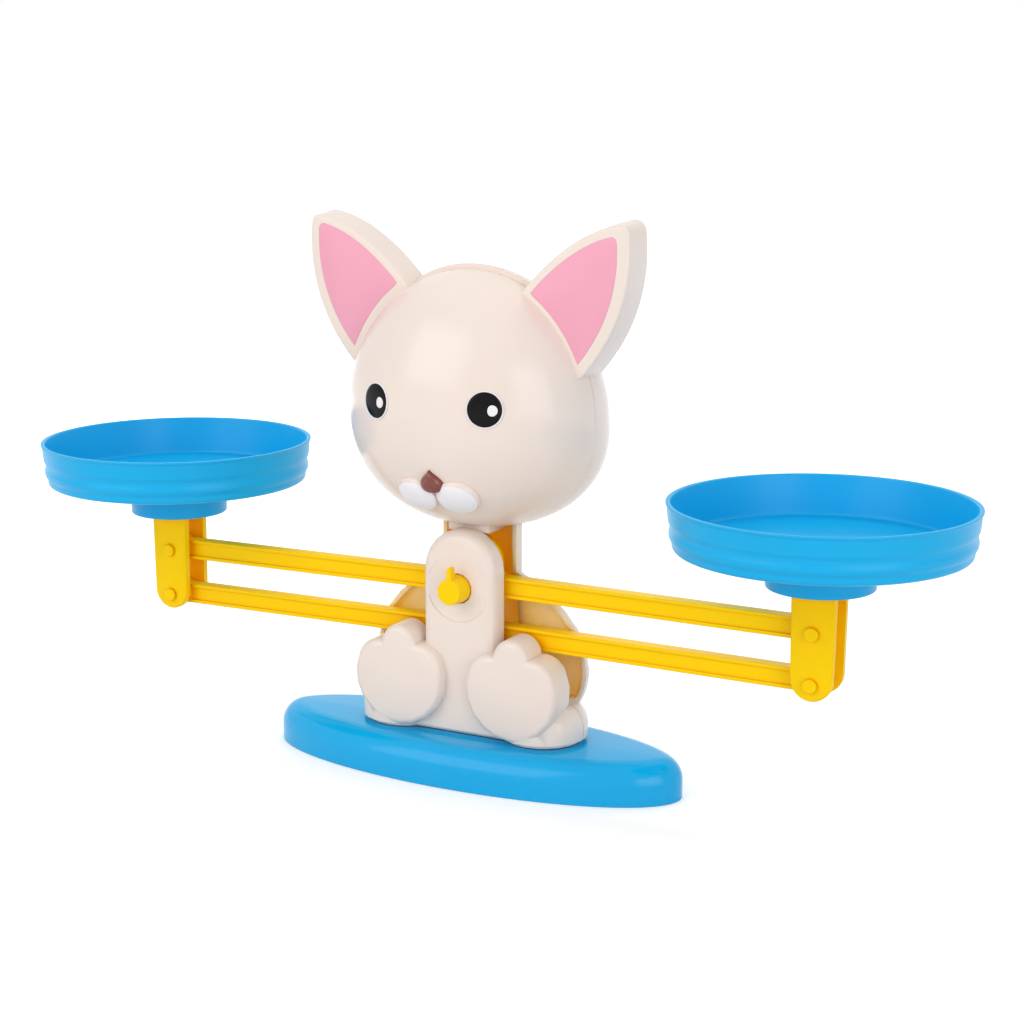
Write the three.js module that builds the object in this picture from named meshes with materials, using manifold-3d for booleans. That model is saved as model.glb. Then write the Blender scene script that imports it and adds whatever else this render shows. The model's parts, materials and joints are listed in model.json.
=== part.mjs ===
// A toy balance scale: a seated cat carries two blue pans on a pair of parallel beams.
// Millimetres, +Z up. The face looks along -Y and the right pan is at +X.
// The origin is the centre of the base's underside.

import * as THREE from 'three';
import { mergeVertices } from 'three/addons/utils/BufferGeometryUtils.js';
import Module from 'manifold-3d';

const wasm = await Module();
wasm.setup();

// Driving dimensions: clearances
const SEAT_GAP = 0.3;
const RUNNING_GAP = 0.4;

// Driving dimensions: base
const BASE_LENGTH = 159.2;
const BASE_DEPTH = 55.2;
const BASE_HEIGHT = 14.2;
const BASE_ROUND = 7.9;
const BASE_WALL = 2.4;

// Driving dimensions: beams, posts and pans
const ARM_LENGTH = 126.7;
const LOWER_PIVOT_RISE = 35.8;
const PIVOT_SPACING = 17.1;
const END_PIVOT_DROP = 1;
const BEAM_HEIGHT = 7.2;
const BEAM_THICKNESS = 5;
const BEAM_WEB = 3.4;
const BEAM_FLANGE = 1.2;
const EYE_WALL = 2;
const EYE_PROUD = 1.5;
const HUB_THICKNESS = 6.6;
const HUB_WIDTH = 20.8;
const HUB_SET_DOWN = 2.6;
const HUB_FILLET = 1.2;
const HUB_WALL = 4.2;
const AXLE_RADIUS = 2.5;
const PIN_RADIUS = 2;
const PIN_HEAD_RADIUS = 2.4;
const PIN_HEAD_HEIGHT = 1.3;
const POST_WIDTH = 15;
const POST_PLATE = 2.6;
const POST_TAIL = 6.5;
const POST_RISE = 13;
const POST_TAPER = 0.4;
const PAN_RADIUS = 50;
const PAN_DEPTH = 15.7;
const PAN_WALL = 1.6;
const PAN_FLOOR = 1.8;
const PAN_CORNER = 2;
const PAN_LIP = 0.4;
const PAN_GROOVE = 0.5;
const PAN_BAND_TOP = 6.3;
const PAN_BAND_BOTTOM = 11.7;
const PAN_FOOT_INSET = 2.1;
const COLLAR_RADIUS = 17.8;
const COLLAR_WALL = 3;
const COLLAR_HEIGHT = 11.8;

// Driving dimensions: pivot knob and pointer
const KNOB_RADIUS = 5;
const KNOB_FACE_RADIUS = 4.4;
const KNOB_REACH = 6.5;
const SHAFT_RADIUS = 3.2;
const POINTER_WIDTH = 1.9;
const POINTER_TAPER = 0.8;
const POINTER_REACH = 8.6;
const POINTER_DEPTH = 3.4;

// Driving dimensions: body
const PLINTH_RADIUS = 15.6;
const PLINTH_SPREAD = 27.6;
const PLINTH_HEIGHT = 12.6;
const PLINTH_ROUND = 8;
const STEP_HEIGHT = 1.3;
const STEP_INSET = 2;
const BODY_WALL = 2.2;
const SLOT_RISE = 14.8;
const SLOT_CLEARANCE = 0.7;
const PANEL_WIDTH = 28.4;
const PANEL_TOP_RISE = 20.3;
const PANEL_DEPTH = 7.5;
const PANEL_ROUND = 3;
const DISH_RADIUS = 12;
const DISH_DEPTH = 0.3;
const PAW_RADIUS = 17.6;
const PAW_SPREAD = 22.2;
const PAW_LIFT = 1.6;
const PAW_DEPTH = 12;
const PAW_ROUND = 2;
const TOE_RADIUS = 6.7;
const TOE_REACH = 18.7;
const SIDE_TOE_RADIUS = 8.6;
const SIDE_TOE_ANGLE = 64;
const SHELL_DEPTH = 8;
const SHELL_WALL = 1.7;
const SHELL_ROUND = 4;
const WING_DEPTH = 4.4;
const WING_ROUND = 2.4;
const SPINE_FLARE = 4;
const HIP_WIDTH = 84;
const HIP_RISE = 24;
const WAIST_WIDTH = 75;
const WAIST_RISE = 9.2;
const BRIDGE_INSET = 2.5;
const NECK_WIDTH = 29.2;
const SHOULDER_RISE = 4.4;
const NECK_ENTRY = 10;
const NECK_FLANGE = 2.6;

// Driving dimensions: head and face
const HEAD_WIDTH = 94;
const HEAD_DEPTH = 75.6;
const HEAD_LOW = 38.2;
const HEAD_HIGH = 51.5;
const HEAD_CROWN = 1.9;
const HEAD_WALL = 2.6;
const HEAD_SET_BACK = 4.5;
const HEAD_LEAN = 0.1;
const HEAD_DIP = 0.8;
const CHIN_FULLNESS = 2.16;
const SEAM_SET_BACK = 0.2;
const PEG_WIDTH = 16;
const EAR_THICKNESS = 12.5;
const EAR_ROUND = 2;
const EAR_BORDER = 4.5;
const EAR_ROOT_BORDER = 2;
const EAR_INSERT = 1.2;
const EAR_PEG_RADIUS = 3.2;
const EAR_PEG_LENGTH = 18;
const EYE_RADIUS = 6;
const EYE_SPREAD = 20.9;
const EYE_RISE = 9.5;
const EYE_DOME = 0.9;
const EYE_SINK = 0.7;
const GLINT_RADIUS = 1.9;
const GLINT_OFFSET = 2.3;
const GLINT_DROP = 0.4;
const GLINT_DEPTH = 0.6;
const NOSE_DROP = 16.6;
const NOSE_WIDTH = 8.4;
const NOSE_HEIGHT = 8.8;
const NOSE_PROUD = 2.4;
const MUZZLE_SPREAD = 7.6;
const MUZZLE_DROP = 22.4;
const MUZZLE_WIDTH = 15.2;
const MUZZLE_HEIGHT = 14.5;
const MUZZLE_PROUD = 3;

// Driving dimensions: screws
const SCREW_RADIUS = 1.4;
const SCREW_HEAD_RADIUS = 2.7;
const SCREW_HEAD_HEIGHT = 2;
const SCREW_LENGTH = 11;
const BOSS_WALL = 1.5;

// Facet counts
const PAN_SIDES = 32;
const HEAD_SIDES = 32;
const HEAD_RINGS = 16;
const HOLLOW_SIDES = 16;
const HOLLOW_RINGS = 8;
const DISH_SIDES = 24;
const PLINTH_SIDES = 22;
const EYE_SIDES = 18;
const ROUND_SIDES = 14;
const SMALL_SIDES = 10;
const SCREW_SIDES = 8;
const CURVE_STEPS = 6;
const OVAL_STEPS = 20;
const HOLLOW_STEPS = 10;
const ROUND_STEPS = 2;
const FULL_ROUND_STEPS = 4;

// Modelling limits
const FAR = 400;
const OVERLAP = 1;
const WELD = 1e-4;

// Heights and depths that follow from the driving dimensions
const lowerPivotZ = BASE_HEIGHT + LOWER_PIVOT_RISE;
const upperPivotZ = lowerPivotZ + PIVOT_SPACING;
const stepZ = BASE_HEIGHT + SEAT_GAP;
const plinthZ = stepZ + STEP_HEIGHT;
const plinthTopZ = plinthZ + PLINTH_HEIGHT;
const waistZ = plinthZ + WAIST_RISE;
const bodyFloorZ = stepZ + BODY_WALL;
const slotZ = BASE_HEIGHT + SLOT_RISE;
const panelTopZ = upperPivotZ + PANEL_TOP_RISE;
const hubTopZ = panelTopZ - HUB_SET_DOWN;
const hubHalf = HUB_THICKNESS / 2;
const slotFrontY = -hubHalf - SLOT_CLEARANCE;
const slotBackY = hubHalf + SLOT_CLEARANCE + RUNNING_GAP;
const panelY = slotFrontY - PANEL_DEPTH;
const pawY = slotFrontY - PAW_DEPTH;
const shellBackY = slotBackY + SHELL_DEPTH;
const wingBackY = slotBackY + WING_DEPTH;
const bearingY = hubHalf + SEAT_GAP;
const axleEndY = shellBackY - SHELL_WALL - 2 * SEAT_GAP;
const headBottomZ = panelTopZ - HEAD_DIP;
const headZ = headBottomZ + HEAD_LOW;
const shoulderZ = upperPivotZ + SHOULDER_RISE;
const neckTopZ = headBottomZ + NECK_ENTRY;
const hipZ = BASE_HEIGHT + HIP_RISE;
const collarZ = upperPivotZ + POST_RISE;
const panZ = collarZ + COLLAR_HEIGHT;
const rimZ = panZ + PAN_DEPTH;
const eyeHalf = BEAM_THICKNESS / 2 + EYE_PROUD;
const forkInnerY = eyeHalf + RUNNING_GAP;
const forkOuterY = forkInnerY + POST_PLATE;
const screwBossRadius = SCREW_HEAD_RADIUS + SEAT_GAP + BOSS_WALL;

// Turns a closed geometry into a solid, with its shared vertices merged and its faces outward.
function solidOf(geometry) {
  const bare = geometry.clone();
  bare.deleteAttribute('normal');
  bare.deleteAttribute('uv');
  const welded = mergeVertices(bare, WELD);
  const corners = welded.attributes.position;
  const faces = [];
  let volume = 0;
  const [a, b, c] = [new THREE.Vector3(), new THREE.Vector3(), new THREE.Vector3()];
  for (let i = 0; i < welded.index.count; i += 3) {
    const [p, q, r] = [0, 1, 2].map((k) => welded.index.getX(i + k));
    if (p === q || q === r || r === p) continue;
    faces.push(p, q, r);
    a.fromBufferAttribute(corners, p);
    b.fromBufferAttribute(corners, q);
    c.fromBufferAttribute(corners, r);
    volume += a.dot(b.cross(c));
  }
  if (volume < 0) faces.reverse();
  const triVerts = Uint32Array.from(faces);
  const vertProperties = Float32Array.from(corners.array);
  return new wasm.Manifold(new wasm.Mesh({ numProp: 3, vertProperties, triVerts }));
}

function join(...solids) {
  return solids.reduce((whole, piece) => whole.add(piece));
}

function cut(solid, ...tools) {
  return tools.reduce((rest, tool) => rest.subtract(tool), solid);
}

function block(...ranges) {
  const sizes = ranges.map(([from, to]) => to - from);
  const middles = ranges.map(([from, to]) => (from + to) / 2);
  return solidOf(new THREE.BoxGeometry(...sizes).translate(...middles));
}

// Half-spaces, as large blocks
const inFrontOf = (y) => block([-FAR, FAR], [-FAR, y], [-FAR, FAR]);
const behind = (y) => block([-FAR, FAR], [y, FAR], [-FAR, FAR]);
const above = (z) => block([-FAR, FAR], [-FAR, FAR], [z, FAR]);
const below = (z) => block([-FAR, FAR], [-FAR, FAR], [-FAR, z]);

function latheOf(profile, sides) {
  return new THREE.LatheGeometry(profile.map(([radius, along]) => new THREE.Vector2(radius, along)), sides);
}

// A turned piece on a vertical axis, from a profile of [radius, height] pairs.
function turnedUp(profile, x, y, sides = ROUND_SIDES) {
  return solidOf(latheOf(profile, sides).rotateX(Math.PI / 2).translate(x, y, 0));
}

// A turned piece on an axis along Y, from a profile of [radius, y] pairs.
function turnedAcross(profile, x, z, sides = ROUND_SIDES) {
  return solidOf(latheOf(profile, sides).translate(x, 0, z));
}

const rod = (radius, from, to) => [[0, from], [radius, from], [radius, to], [0, to]];

// Points on an arc, as [radius, along] pairs for a profile.
function arcPoints(centre, radius, startAngle, endAngle, steps = ROUND_STEPS) {
  return Array.from({ length: steps + 1 }, (_, i) => {
    const angle = startAngle + (endAngle - startAngle) * (i / steps);
    return [centre[0] + radius * Math.cos(angle), centre[1] + radius * Math.sin(angle)];
  });
}

function extrusion(shape, length, rounding, steps, roundSteps = ROUND_STEPS) {
  return new THREE.ExtrudeGeometry(shape, {
    depth: length,
    bevelEnabled: rounding > 0,
    bevelThickness: rounding,
    bevelSize: rounding,
    bevelOffset: -rounding,
    bevelSegments: roundSteps,
    curveSegments: steps,
  });
}

// A plate drawn in the XZ plane, from one Y to another, with its far edge rounded.
function plate(shape, fromY, toY, rounding = 0, steps = CURVE_STEPS) {
  const toFront = toY < fromY;
  const geometry = extrusion(shape, Math.abs(toY - fromY) - rounding, rounding, steps).rotateX(Math.PI / 2);
  if (!toFront) geometry.scale(1, -1, 1);
  const solid = solidOf(geometry.translate(0, fromY, 0));
  if (rounding === 0) return solid;
  return cut(solid, toFront ? behind(fromY) : inFrontOf(fromY));
}

// A slab drawn in the XY plane, from one height up to another, with its top edge rounded.
function slab(shape, fromZ, toZ, rounding = 0, steps = CURVE_STEPS, roundSteps = ROUND_STEPS) {
  const geometry = extrusion(shape, toZ - fromZ - rounding, rounding, steps, roundSteps);
  const solid = solidOf(geometry.translate(0, 0, fromZ));
  return rounding === 0 ? solid : cut(solid, below(fromZ));
}

// The same outline, moved inwards.
function insetShape(shape, distance, steps = CURVE_STEPS) {
  const outline = shape.getPoints(steps);
  if (outline[0].distanceTo(outline.at(-1)) < WELD) outline.pop();
  const turn = Math.sign(THREE.ShapeUtils.area(outline));
  const moved = outline.map((point, i) => {
    const arriving = point.clone().sub(outline.at(i - 1)).normalize();
    const leaving = outline[(i + 1) % outline.length].clone().sub(point).normalize();
    const inward = new THREE.Vector2(-arriving.y - leaving.y, arriving.x + leaving.x).normalize();
    const squareness = inward.y * arriving.x - inward.x * arriving.y;
    return point.clone().addScaledVector(inward, (turn * distance) / squareness);
  });
  return new THREE.Shape(moved);
}

// Colours of the moulded plastics
const CREAM = { color: 0xefe2d7, roughness: 0.28, metalness: 0 };
const YELLOW = { color: 0xfdd000, roughness: 0.35, metalness: 0 };
const BLUE = { color: 0x23a3e4, roughness: 0.25, metalness: 0 };
const PINK = { color: 0xf5acc3, roughness: 0.4, metalness: 0 };
const BROWN = { color: 0x96503f, roughness: 0.35, metalness: 0 };
const BLACK = { color: 0x141214, roughness: 0.15, metalness: 0 };
const WHITE = { color: 0xf2efec, roughness: 0.3, metalness: 0 };
const STEEL = { color: 0xb9bcc0, roughness: 0.35, metalness: 1 };

const scale = new THREE.Group();

function addPart(name, solid, finish) {
  const { vertProperties, triVerts } = solid.getMesh();
  const geometry = new THREE.BufferGeometry();
  geometry.setAttribute('position', new THREE.BufferAttribute(vertProperties, 3));
  geometry.setIndex(new THREE.BufferAttribute(triVerts, 1));
  geometry.computeVertexNormals();
  const mesh = new THREE.Mesh(geometry, new THREE.MeshStandardMaterial(finish));
  mesh.name = name;
  scale.add(mesh);
}

const SIDES = [
  { word: 'left', sign: -1 },
  { word: 'right', sign: 1 },
];

// Screws: a low round head and a plain shank. The head's underside is at the seat.
const screwProfile = (seat, direction) => [
  [0, seat - direction * SCREW_HEAD_HEIGHT],
  [SCREW_HEAD_RADIUS, seat - direction * SCREW_HEAD_HEIGHT],
  [SCREW_HEAD_RADIUS, seat],
  [SCREW_RADIUS, seat],
  [SCREW_RADIUS, seat + direction * (SCREW_LENGTH - SCREW_RADIUS)],
  [0, seat + direction * SCREW_LENGTH],
];
const holeRadius = SCREW_RADIUS + SEAT_GAP;
const counterboreRadius = SCREW_HEAD_RADIUS + SEAT_GAP;
const boreDepth = SCREW_LENGTH + 2 * SEAT_GAP;

const uprightScrew = (x, y, seatZ) => turnedUp(screwProfile(seatZ, 1), x, y, SCREW_SIDES);
const rearScrew = (x, z, seatY) => turnedAcross(screwProfile(seatY, -1), x, z, SCREW_SIDES);

// Where the screws stand
const baseScrewX = PLINTH_SPREAD - screwBossRadius;
const baseScrewY = PLINTH_RADIUS / 2;
const baseScrews = SIDES.flatMap(({ word, sign }) => [
  { name: `base_screw_front_${word}`, x: sign * baseScrewX, y: -baseScrewY },
  { name: `base_screw_back_${word}`, x: sign * baseScrewX, y: baseScrewY },
]);
const baseSeatZ = BASE_HEIGHT - BASE_WALL - BOSS_WALL;
const bodyScrewX = PLINTH_SPREAD + screwBossRadius;
const bodyScrewZ = (plinthZ + waistZ) / 2;
const bodySeatY = PLINTH_RADIUS / 4;
const headScrews = [
  { name: 'head_screw_left', x: -HEAD_WIDTH / 4, z: headZ - HEAD_LOW / 2.6 },
  { name: 'head_screw_right', x: HEAD_WIDTH / 4, z: headZ - HEAD_LOW / 2.6 },
  { name: 'head_screw_top', x: 0, z: headZ + HEAD_HIGH * 0.62 },
];
const headSeatY = SEAM_SET_BACK + HEAD_DEPTH / 18;

// Base: an oval shell with a large rounded edge, open underneath, with a boss for each screw
function ellipseShape(halfLength, halfDepth) {
  const shape = new THREE.Shape();
  shape.absellipse(0, 0, halfLength, halfDepth, 0, 2 * Math.PI);
  return shape;
}

function buildBase() {
  const outerShape = ellipseShape(BASE_LENGTH / 2, BASE_DEPTH / 2);
  const outer = slab(outerShape, 0, BASE_HEIGHT, BASE_ROUND, OVAL_STEPS, FULL_ROUND_STEPS);
  const innerShape = ellipseShape(BASE_LENGTH / 2 - BASE_WALL, BASE_DEPTH / 2 - BASE_WALL);
  const innerRound = Math.max(BASE_ROUND - BASE_WALL, BASE_WALL);
  const inner = slab(innerShape, -OVERLAP, BASE_HEIGHT - BASE_WALL, innerRound, HOLLOW_STEPS);
  const bossFoot = baseSeatZ - SCREW_HEAD_HEIGHT - 2 * SEAT_GAP;
  const bosses = baseScrews.map(({ x, y }) => {
    return turnedUp(rod(screwBossRadius, bossFoot, BASE_HEIGHT - BASE_WALL / 2), x, y, SMALL_SIDES);
  });
  const bores = baseScrews.flatMap(({ x, y }) => [
    turnedUp(rod(counterboreRadius, -OVERLAP, baseSeatZ), x, y, SMALL_SIDES),
    turnedUp(rod(holeRadius, 0, BASE_HEIGHT + OVERLAP), x, y, SMALL_SIDES),
  ]);
  return cut(join(cut(outer, inner), ...bosses), ...bores);
}

addPart('base', buildBase(), BLUE);
for (const { name, x, y } of baseScrews) {
  addPart(name, uprightScrew(x, y, baseSeatZ - SEAT_GAP), STEEL);
}

// Body outlines
function tongueShape(inset) {
  const half = PANEL_WIDTH / 2 - inset;
  const shape = new THREE.Shape();
  shape.moveTo(-half, plinthZ + inset);
  shape.lineTo(half, plinthZ + inset);
  shape.absarc(0, panelTopZ - PANEL_WIDTH / 2, half, 0, Math.PI);
  return shape;
}

function bellShape() {
  const neck = NECK_WIDTH / 2;
  const hip = HIP_WIDTH / 2;
  const waist = WAIST_WIDTH / 2;
  const drop = shoulderZ - hipZ;
  const shape = new THREE.Shape();
  shape.moveTo(-neck, neckTopZ);
  shape.lineTo(-neck, shoulderZ);
  shape.bezierCurveTo(-neck - drop / 3, shoulderZ - drop / 6, -hip, hipZ + drop / 2, -hip, hipZ);
  shape.quadraticCurveTo(-hip, (hipZ + waistZ) / 2, -waist, waistZ);
  shape.lineTo(-waist, plinthZ);
  shape.lineTo(waist, plinthZ);
  shape.lineTo(waist, waistZ);
  shape.quadraticCurveTo(hip, (hipZ + waistZ) / 2, hip, hipZ);
  shape.bezierCurveTo(hip, hipZ + drop / 2, neck + drop / 3, shoulderZ - drop / 6, neck, shoulderZ);
  shape.lineTo(neck, neckTopZ);
  return shape;
}

// The channel down the middle of the back, deeper than the wings beside it
function spineShape(inset) {
  const neck = NECK_WIDTH / 2 - inset;
  const foot = neck + SPINE_FLARE;
  const shape = new THREE.Shape();
  shape.moveTo(-neck, neckTopZ);
  shape.lineTo(-neck, shoulderZ);
  shape.lineTo(-foot, plinthZ + inset);
  shape.lineTo(foot, plinthZ + inset);
  shape.lineTo(neck, shoulderZ);
  shape.lineTo(neck, neckTopZ);
  return shape;
}

const bell = bellShape();
const bellInside = insetShape(bell, SHELL_WALL);
const bridge = insetShape(bell, BRIDGE_INSET);
const bridgeInside = insetShape(bell, BRIDGE_INSET + SHELL_WALL);

// The foot that both halves of the body share: two round buns joined by a bar, on an inset step
function plinthSolid(inset, fromZ, toZ, rounding) {
  const radius = PLINTH_RADIUS - inset;
  const corner = arcPoints([radius - rounding, toZ - rounding], rounding, 0, Math.PI / 2, FULL_ROUND_STEPS);
  const bun = [[0, fromZ], [radius, fromZ], ...(rounding > 0 ? corner : [[radius, toZ]]), [0, toZ]];
  const barHalf = -panelY - inset;
  return join(
    ...SIDES.map(({ sign }) => turnedUp(bun, sign * PLINTH_SPREAD, 0, PLINTH_SIDES)),
    block([-PLINTH_SPREAD, PLINTH_SPREAD], [-barHalf, barHalf], [fromZ, toZ]),
  );
}

const plinthOuter = join(
  plinthSolid(0, plinthZ, plinthTopZ, PLINTH_ROUND),
  plinthSolid(STEP_INSET, stepZ, plinthZ + OVERLAP, 0),
);
const plinthInnerRound = Math.max(PLINTH_ROUND - BODY_WALL, BODY_WALL);
const plinthInset = BODY_WALL + STEP_INSET;
const plinthInside = plinthSolid(plinthInset, bodyFloorZ, plinthTopZ - BODY_WALL, plinthInnerRound);

// Bosses that stand in the foot for the screws from below
function baseScrewBosses(isFront) {
  const near = baseScrews.filter(({ y }) => y < 0 === isFront);
  const bosses = near.map(({ x, y }) => {
    return turnedUp(rod(holeRadius + BOSS_WALL, stepZ, plinthTopZ), x, y, SMALL_SIDES).intersect(plinthOuter);
  });
  const bores = near.map(({ x, y }) => {
    return turnedUp(rod(holeRadius, stepZ - OVERLAP, baseSeatZ + boreDepth), x, y, SMALL_SIDES);
  });
  return { bosses, bores };
}

// Front of the body: a tongue panel with a bearing hole and two paws, hollow at the back
const pawZ = BASE_HEIGHT + PAW_LIFT + PAW_RADIUS;

// The middles of the toes and the notch between them, measured from the middle of the paw
const sideToeAngle = THREE.MathUtils.degToRad(90 - SIDE_TOE_ANGLE);
const sideToeReach = PAW_RADIUS - SIDE_TOE_RADIUS;
const sideToe = new THREE.Vector2(sideToeReach, 0).rotateAround(new THREE.Vector2(), sideToeAngle);
const middleToe = new THREE.Vector2(0, TOE_REACH - TOE_RADIUS);
const toeNotch = crossingOf(sideToe, SIDE_TOE_RADIUS, middleToe, TOE_RADIUS);

// The outer of the two places where two circles cross
function crossingOf(centre, radius, otherCentre, otherRadius) {
  const apart = centre.distanceTo(otherCentre);
  const along = (radius ** 2 - otherRadius ** 2 + apart ** 2) / (2 * apart);
  const aside = Math.sqrt(radius ** 2 - along ** 2);
  const forward = otherCentre.clone().sub(centre).divideScalar(apart);
  const outward = new THREE.Vector2(forward.y, -forward.x);
  return centre.clone().addScaledVector(forward, along).addScaledVector(outward, aside);
}

// The paw's outline: a round pad whose upper edge breaks into three toes
function pawShape(x) {
  const sideEnd = toeNotch.clone().sub(sideToe).angle();
  const toeStart = toeNotch.clone().sub(middleToe).angle();
  const sideZ = pawZ + sideToe.y;
  const shape = new THREE.Shape();
  shape.absarc(x, pawZ, PAW_RADIUS, Math.PI - sideToeAngle, 2 * Math.PI + sideToeAngle);
  shape.absarc(x + sideToe.x, sideZ, SIDE_TOE_RADIUS, sideToeAngle, sideEnd);
  shape.absarc(x, pawZ + middleToe.y, TOE_RADIUS, toeStart, Math.PI - toeStart);
  shape.absarc(x - sideToe.x, sideZ, SIDE_TOE_RADIUS, Math.PI - sideEnd, Math.PI - sideToeAngle);
  return shape;
}

// A shallow dish in the panel's face, deepest at the top, that the pointer sweeps over
function dishSolid() {
  const tilt = Math.atan2(DISH_DEPTH, 2 * DISH_RADIUS);
  const geometry = latheOf(rod(DISH_RADIUS, -FAR / 20, 0), DISH_SIDES).rotateX(tilt);
  return solidOf(geometry.translate(0, panelY + DISH_DEPTH / 2, upperPivotZ));
}

function buildBodyFront() {
  const partingY = -SEAT_GAP / 2;
  const outer = join(
    plate(tongueShape(0), slotFrontY, panelY, PANEL_ROUND),
    ...SIDES.map(({ sign }) => plate(pawShape(sign * PAW_SPREAD), slotFrontY, pawY, PAW_ROUND)),
    plate(bridge, partingY, slotFrontY - OVERLAP).subtract(above(slotZ)),
    plinthOuter.subtract(behind(partingY)),
  );
  const hollow = join(
    plate(tongueShape(BODY_WALL), slotFrontY + OVERLAP, panelY + BODY_WALL),
    ...SIDES.map(({ sign }) => {
      const pocket = rod(toeNotch.length() - BODY_WALL, slotFrontY + OVERLAP, pawY + BODY_WALL);
      return turnedAcross(pocket, sign * PAW_SPREAD, pawZ);
    }),
  );
  const footHollow = join(
    hollow,
    plate(bridgeInside, OVERLAP, slotFrontY - OVERLAP),
    plinthInside,
  );
  const bearingRadius = KNOB_RADIUS + RUNNING_GAP;
  const innerFaceY = panelY + BODY_WALL / 2;
  const { bosses, bores } = baseScrewBosses(true);
  const screwBosses = SIDES.map(({ sign }) => {
    const boss = rod(holeRadius + BOSS_WALL, pawY + BODY_WALL / 2, partingY);
    return turnedAcross(boss, sign * bodyScrewX, bodyScrewZ).intersect(outer);
  });
  const screwBores = SIDES.map(({ sign }) => {
    const bore = rod(holeRadius, bodySeatY - boreDepth, OVERLAP);
    return turnedAcross(bore, sign * bodyScrewX, bodyScrewZ, SMALL_SIDES);
  });
  const shell = cut(
    outer,
    cut(hollow, below(slotZ)),
    cut(footHollow, above(slotZ - BODY_WALL), below(bodyFloorZ)),
  );
  const whole = join(
    shell,
    turnedAcross(rod(bearingRadius + BODY_WALL, innerFaceY, -bearingY), 0, upperPivotZ),
    turnedAcross(rod(AXLE_RADIUS + SEAT_GAP + BODY_WALL, innerFaceY, -bearingY), 0, lowerPivotZ),
    ...bosses,
    ...screwBosses,
  );
  return cut(
    whole,
    turnedAcross(rod(bearingRadius, panelY - OVERLAP, 0), 0, upperPivotZ),
    turnedAcross(rod(AXLE_RADIUS + SEAT_GAP, panelY + BODY_WALL, 0), 0, lowerPivotZ),
    dishSolid(),
    ...bores,
    ...screwBores,
  );
}

addPart('body_front', buildBodyFront(), CREAM);

// Back of the body: a bell-shaped tray open to the front, with a deeper spine that runs up into the head
function buildBodyBack() {
  const partingY = SEAT_GAP / 2;
  const neckHalf = NECK_WIDTH / 2;
  const outer = join(
    plate(bell, slotBackY, wingBackY, WING_ROUND),
    plate(spineShape(0), slotBackY, shellBackY, SHELL_ROUND),
    plate(bridge, partingY, slotBackY + OVERLAP).subtract(above(slotZ)),
    plinthOuter.subtract(inFrontOf(partingY)),
  );
  const innerBackY = shellBackY - SHELL_WALL;
  const innerRound = Math.max(SHELL_ROUND - SHELL_WALL, SHELL_WALL);
  const wingRound = Math.max(WING_ROUND - SHELL_WALL, SHELL_WALL);
  const channel = plate(spineShape(SHELL_WALL), -OVERLAP, innerBackY, innerRound);
  const wings = plate(bellInside, -OVERLAP, wingBackY - SHELL_WALL, wingRound);
  const footWings = plate(bridgeInside, -OVERLAP, wingBackY - SHELL_WALL);
  const tray = join(channel, wings);
  const footHollow = cut(join(channel, footWings, plinthInside), above(slotZ - BODY_WALL), below(bodyFloorZ));
  const flange = block(
    [-neckHalf - NECK_FLANGE, neckHalf + NECK_FLANGE],
    [slotBackY, shellBackY + NECK_FLANGE],
    [neckTopZ - BODY_WALL, neckTopZ],
  );
  const { bosses, bores } = baseScrewBosses(false);
  const bearingRadius = AXLE_RADIUS + SEAT_GAP;
  const bearing = (z) => turnedAcross(rod(bearingRadius + BODY_WALL, bearingY, innerBackY + WELD), 0, z);
  const bore = (z) => turnedAcross(rod(bearingRadius, 0, axleEndY + SEAT_GAP), 0, z);
  const screwBosses = SIDES.map(({ sign }) => {
    const boss = rod(screwBossRadius, partingY, 2 * PLINTH_RADIUS);
    return turnedAcross(boss, sign * bodyScrewX, bodyScrewZ).intersect(outer);
  });
  const screwBores = SIDES.flatMap(({ sign }) => [
    turnedAcross(rod(counterboreRadius, bodySeatY, FAR), sign * bodyScrewX, bodyScrewZ, SMALL_SIDES),
    turnedAcross(rod(holeRadius, -OVERLAP, FAR), sign * bodyScrewX, bodyScrewZ, SMALL_SIDES),
  ]);
  const shell = cut(outer, cut(tray, below(slotZ)), footHollow);
  const whole = join(shell, flange, bearing(upperPivotZ), bearing(lowerPivotZ), ...bosses, ...screwBosses);
  return cut(whole, bore(upperPivotZ), bore(lowerPivotZ), ...bores, ...screwBores);
}

addPart('body_back', buildBodyBack(), CREAM);
for (const { word, sign } of SIDES) {
  addPart(`body_screw_${word}`, rearScrew(sign * bodyScrewX, bodyScrewZ, bodySeatY + SEAT_GAP), STEEL);
}

// Head: a round form with full cheeks and a low chin, leaning a little, moulded as two half shells.
// The rear half rises to a higher crown.
function headSolid(grow, crown = 0, sides = HEAD_SIDES, rings = HEAD_RINGS) {
  const halfWidth = HEAD_WIDTH / 2 + grow;
  const profile = Array.from({ length: rings + 1 }, (_, i) => {
    const angle = Math.PI * (i / rings - 0.5);
    const power = angle < 0 ? 2 / CHIN_FULLNESS : 1;
    const reach = (angle < 0 ? HEAD_LOW : HEAD_HIGH + crown) + grow;
    const rise = Math.sign(angle) * Math.abs(Math.sin(angle)) ** power;
    return [halfWidth * Math.abs(Math.cos(angle)) ** power, reach * rise];
  });
  const geometry = latheOf(profile, sides).rotateX(Math.PI / 2);
  geometry.scale(1, (HEAD_DEPTH / 2 + grow) / halfWidth, 1);
  geometry.applyMatrix4(new THREE.Matrix4().makeShear(0, 0, 0, 0, 0, -HEAD_LEAN));
  return solidOf(geometry.translate(0, HEAD_SET_BACK, headZ));
}

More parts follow.
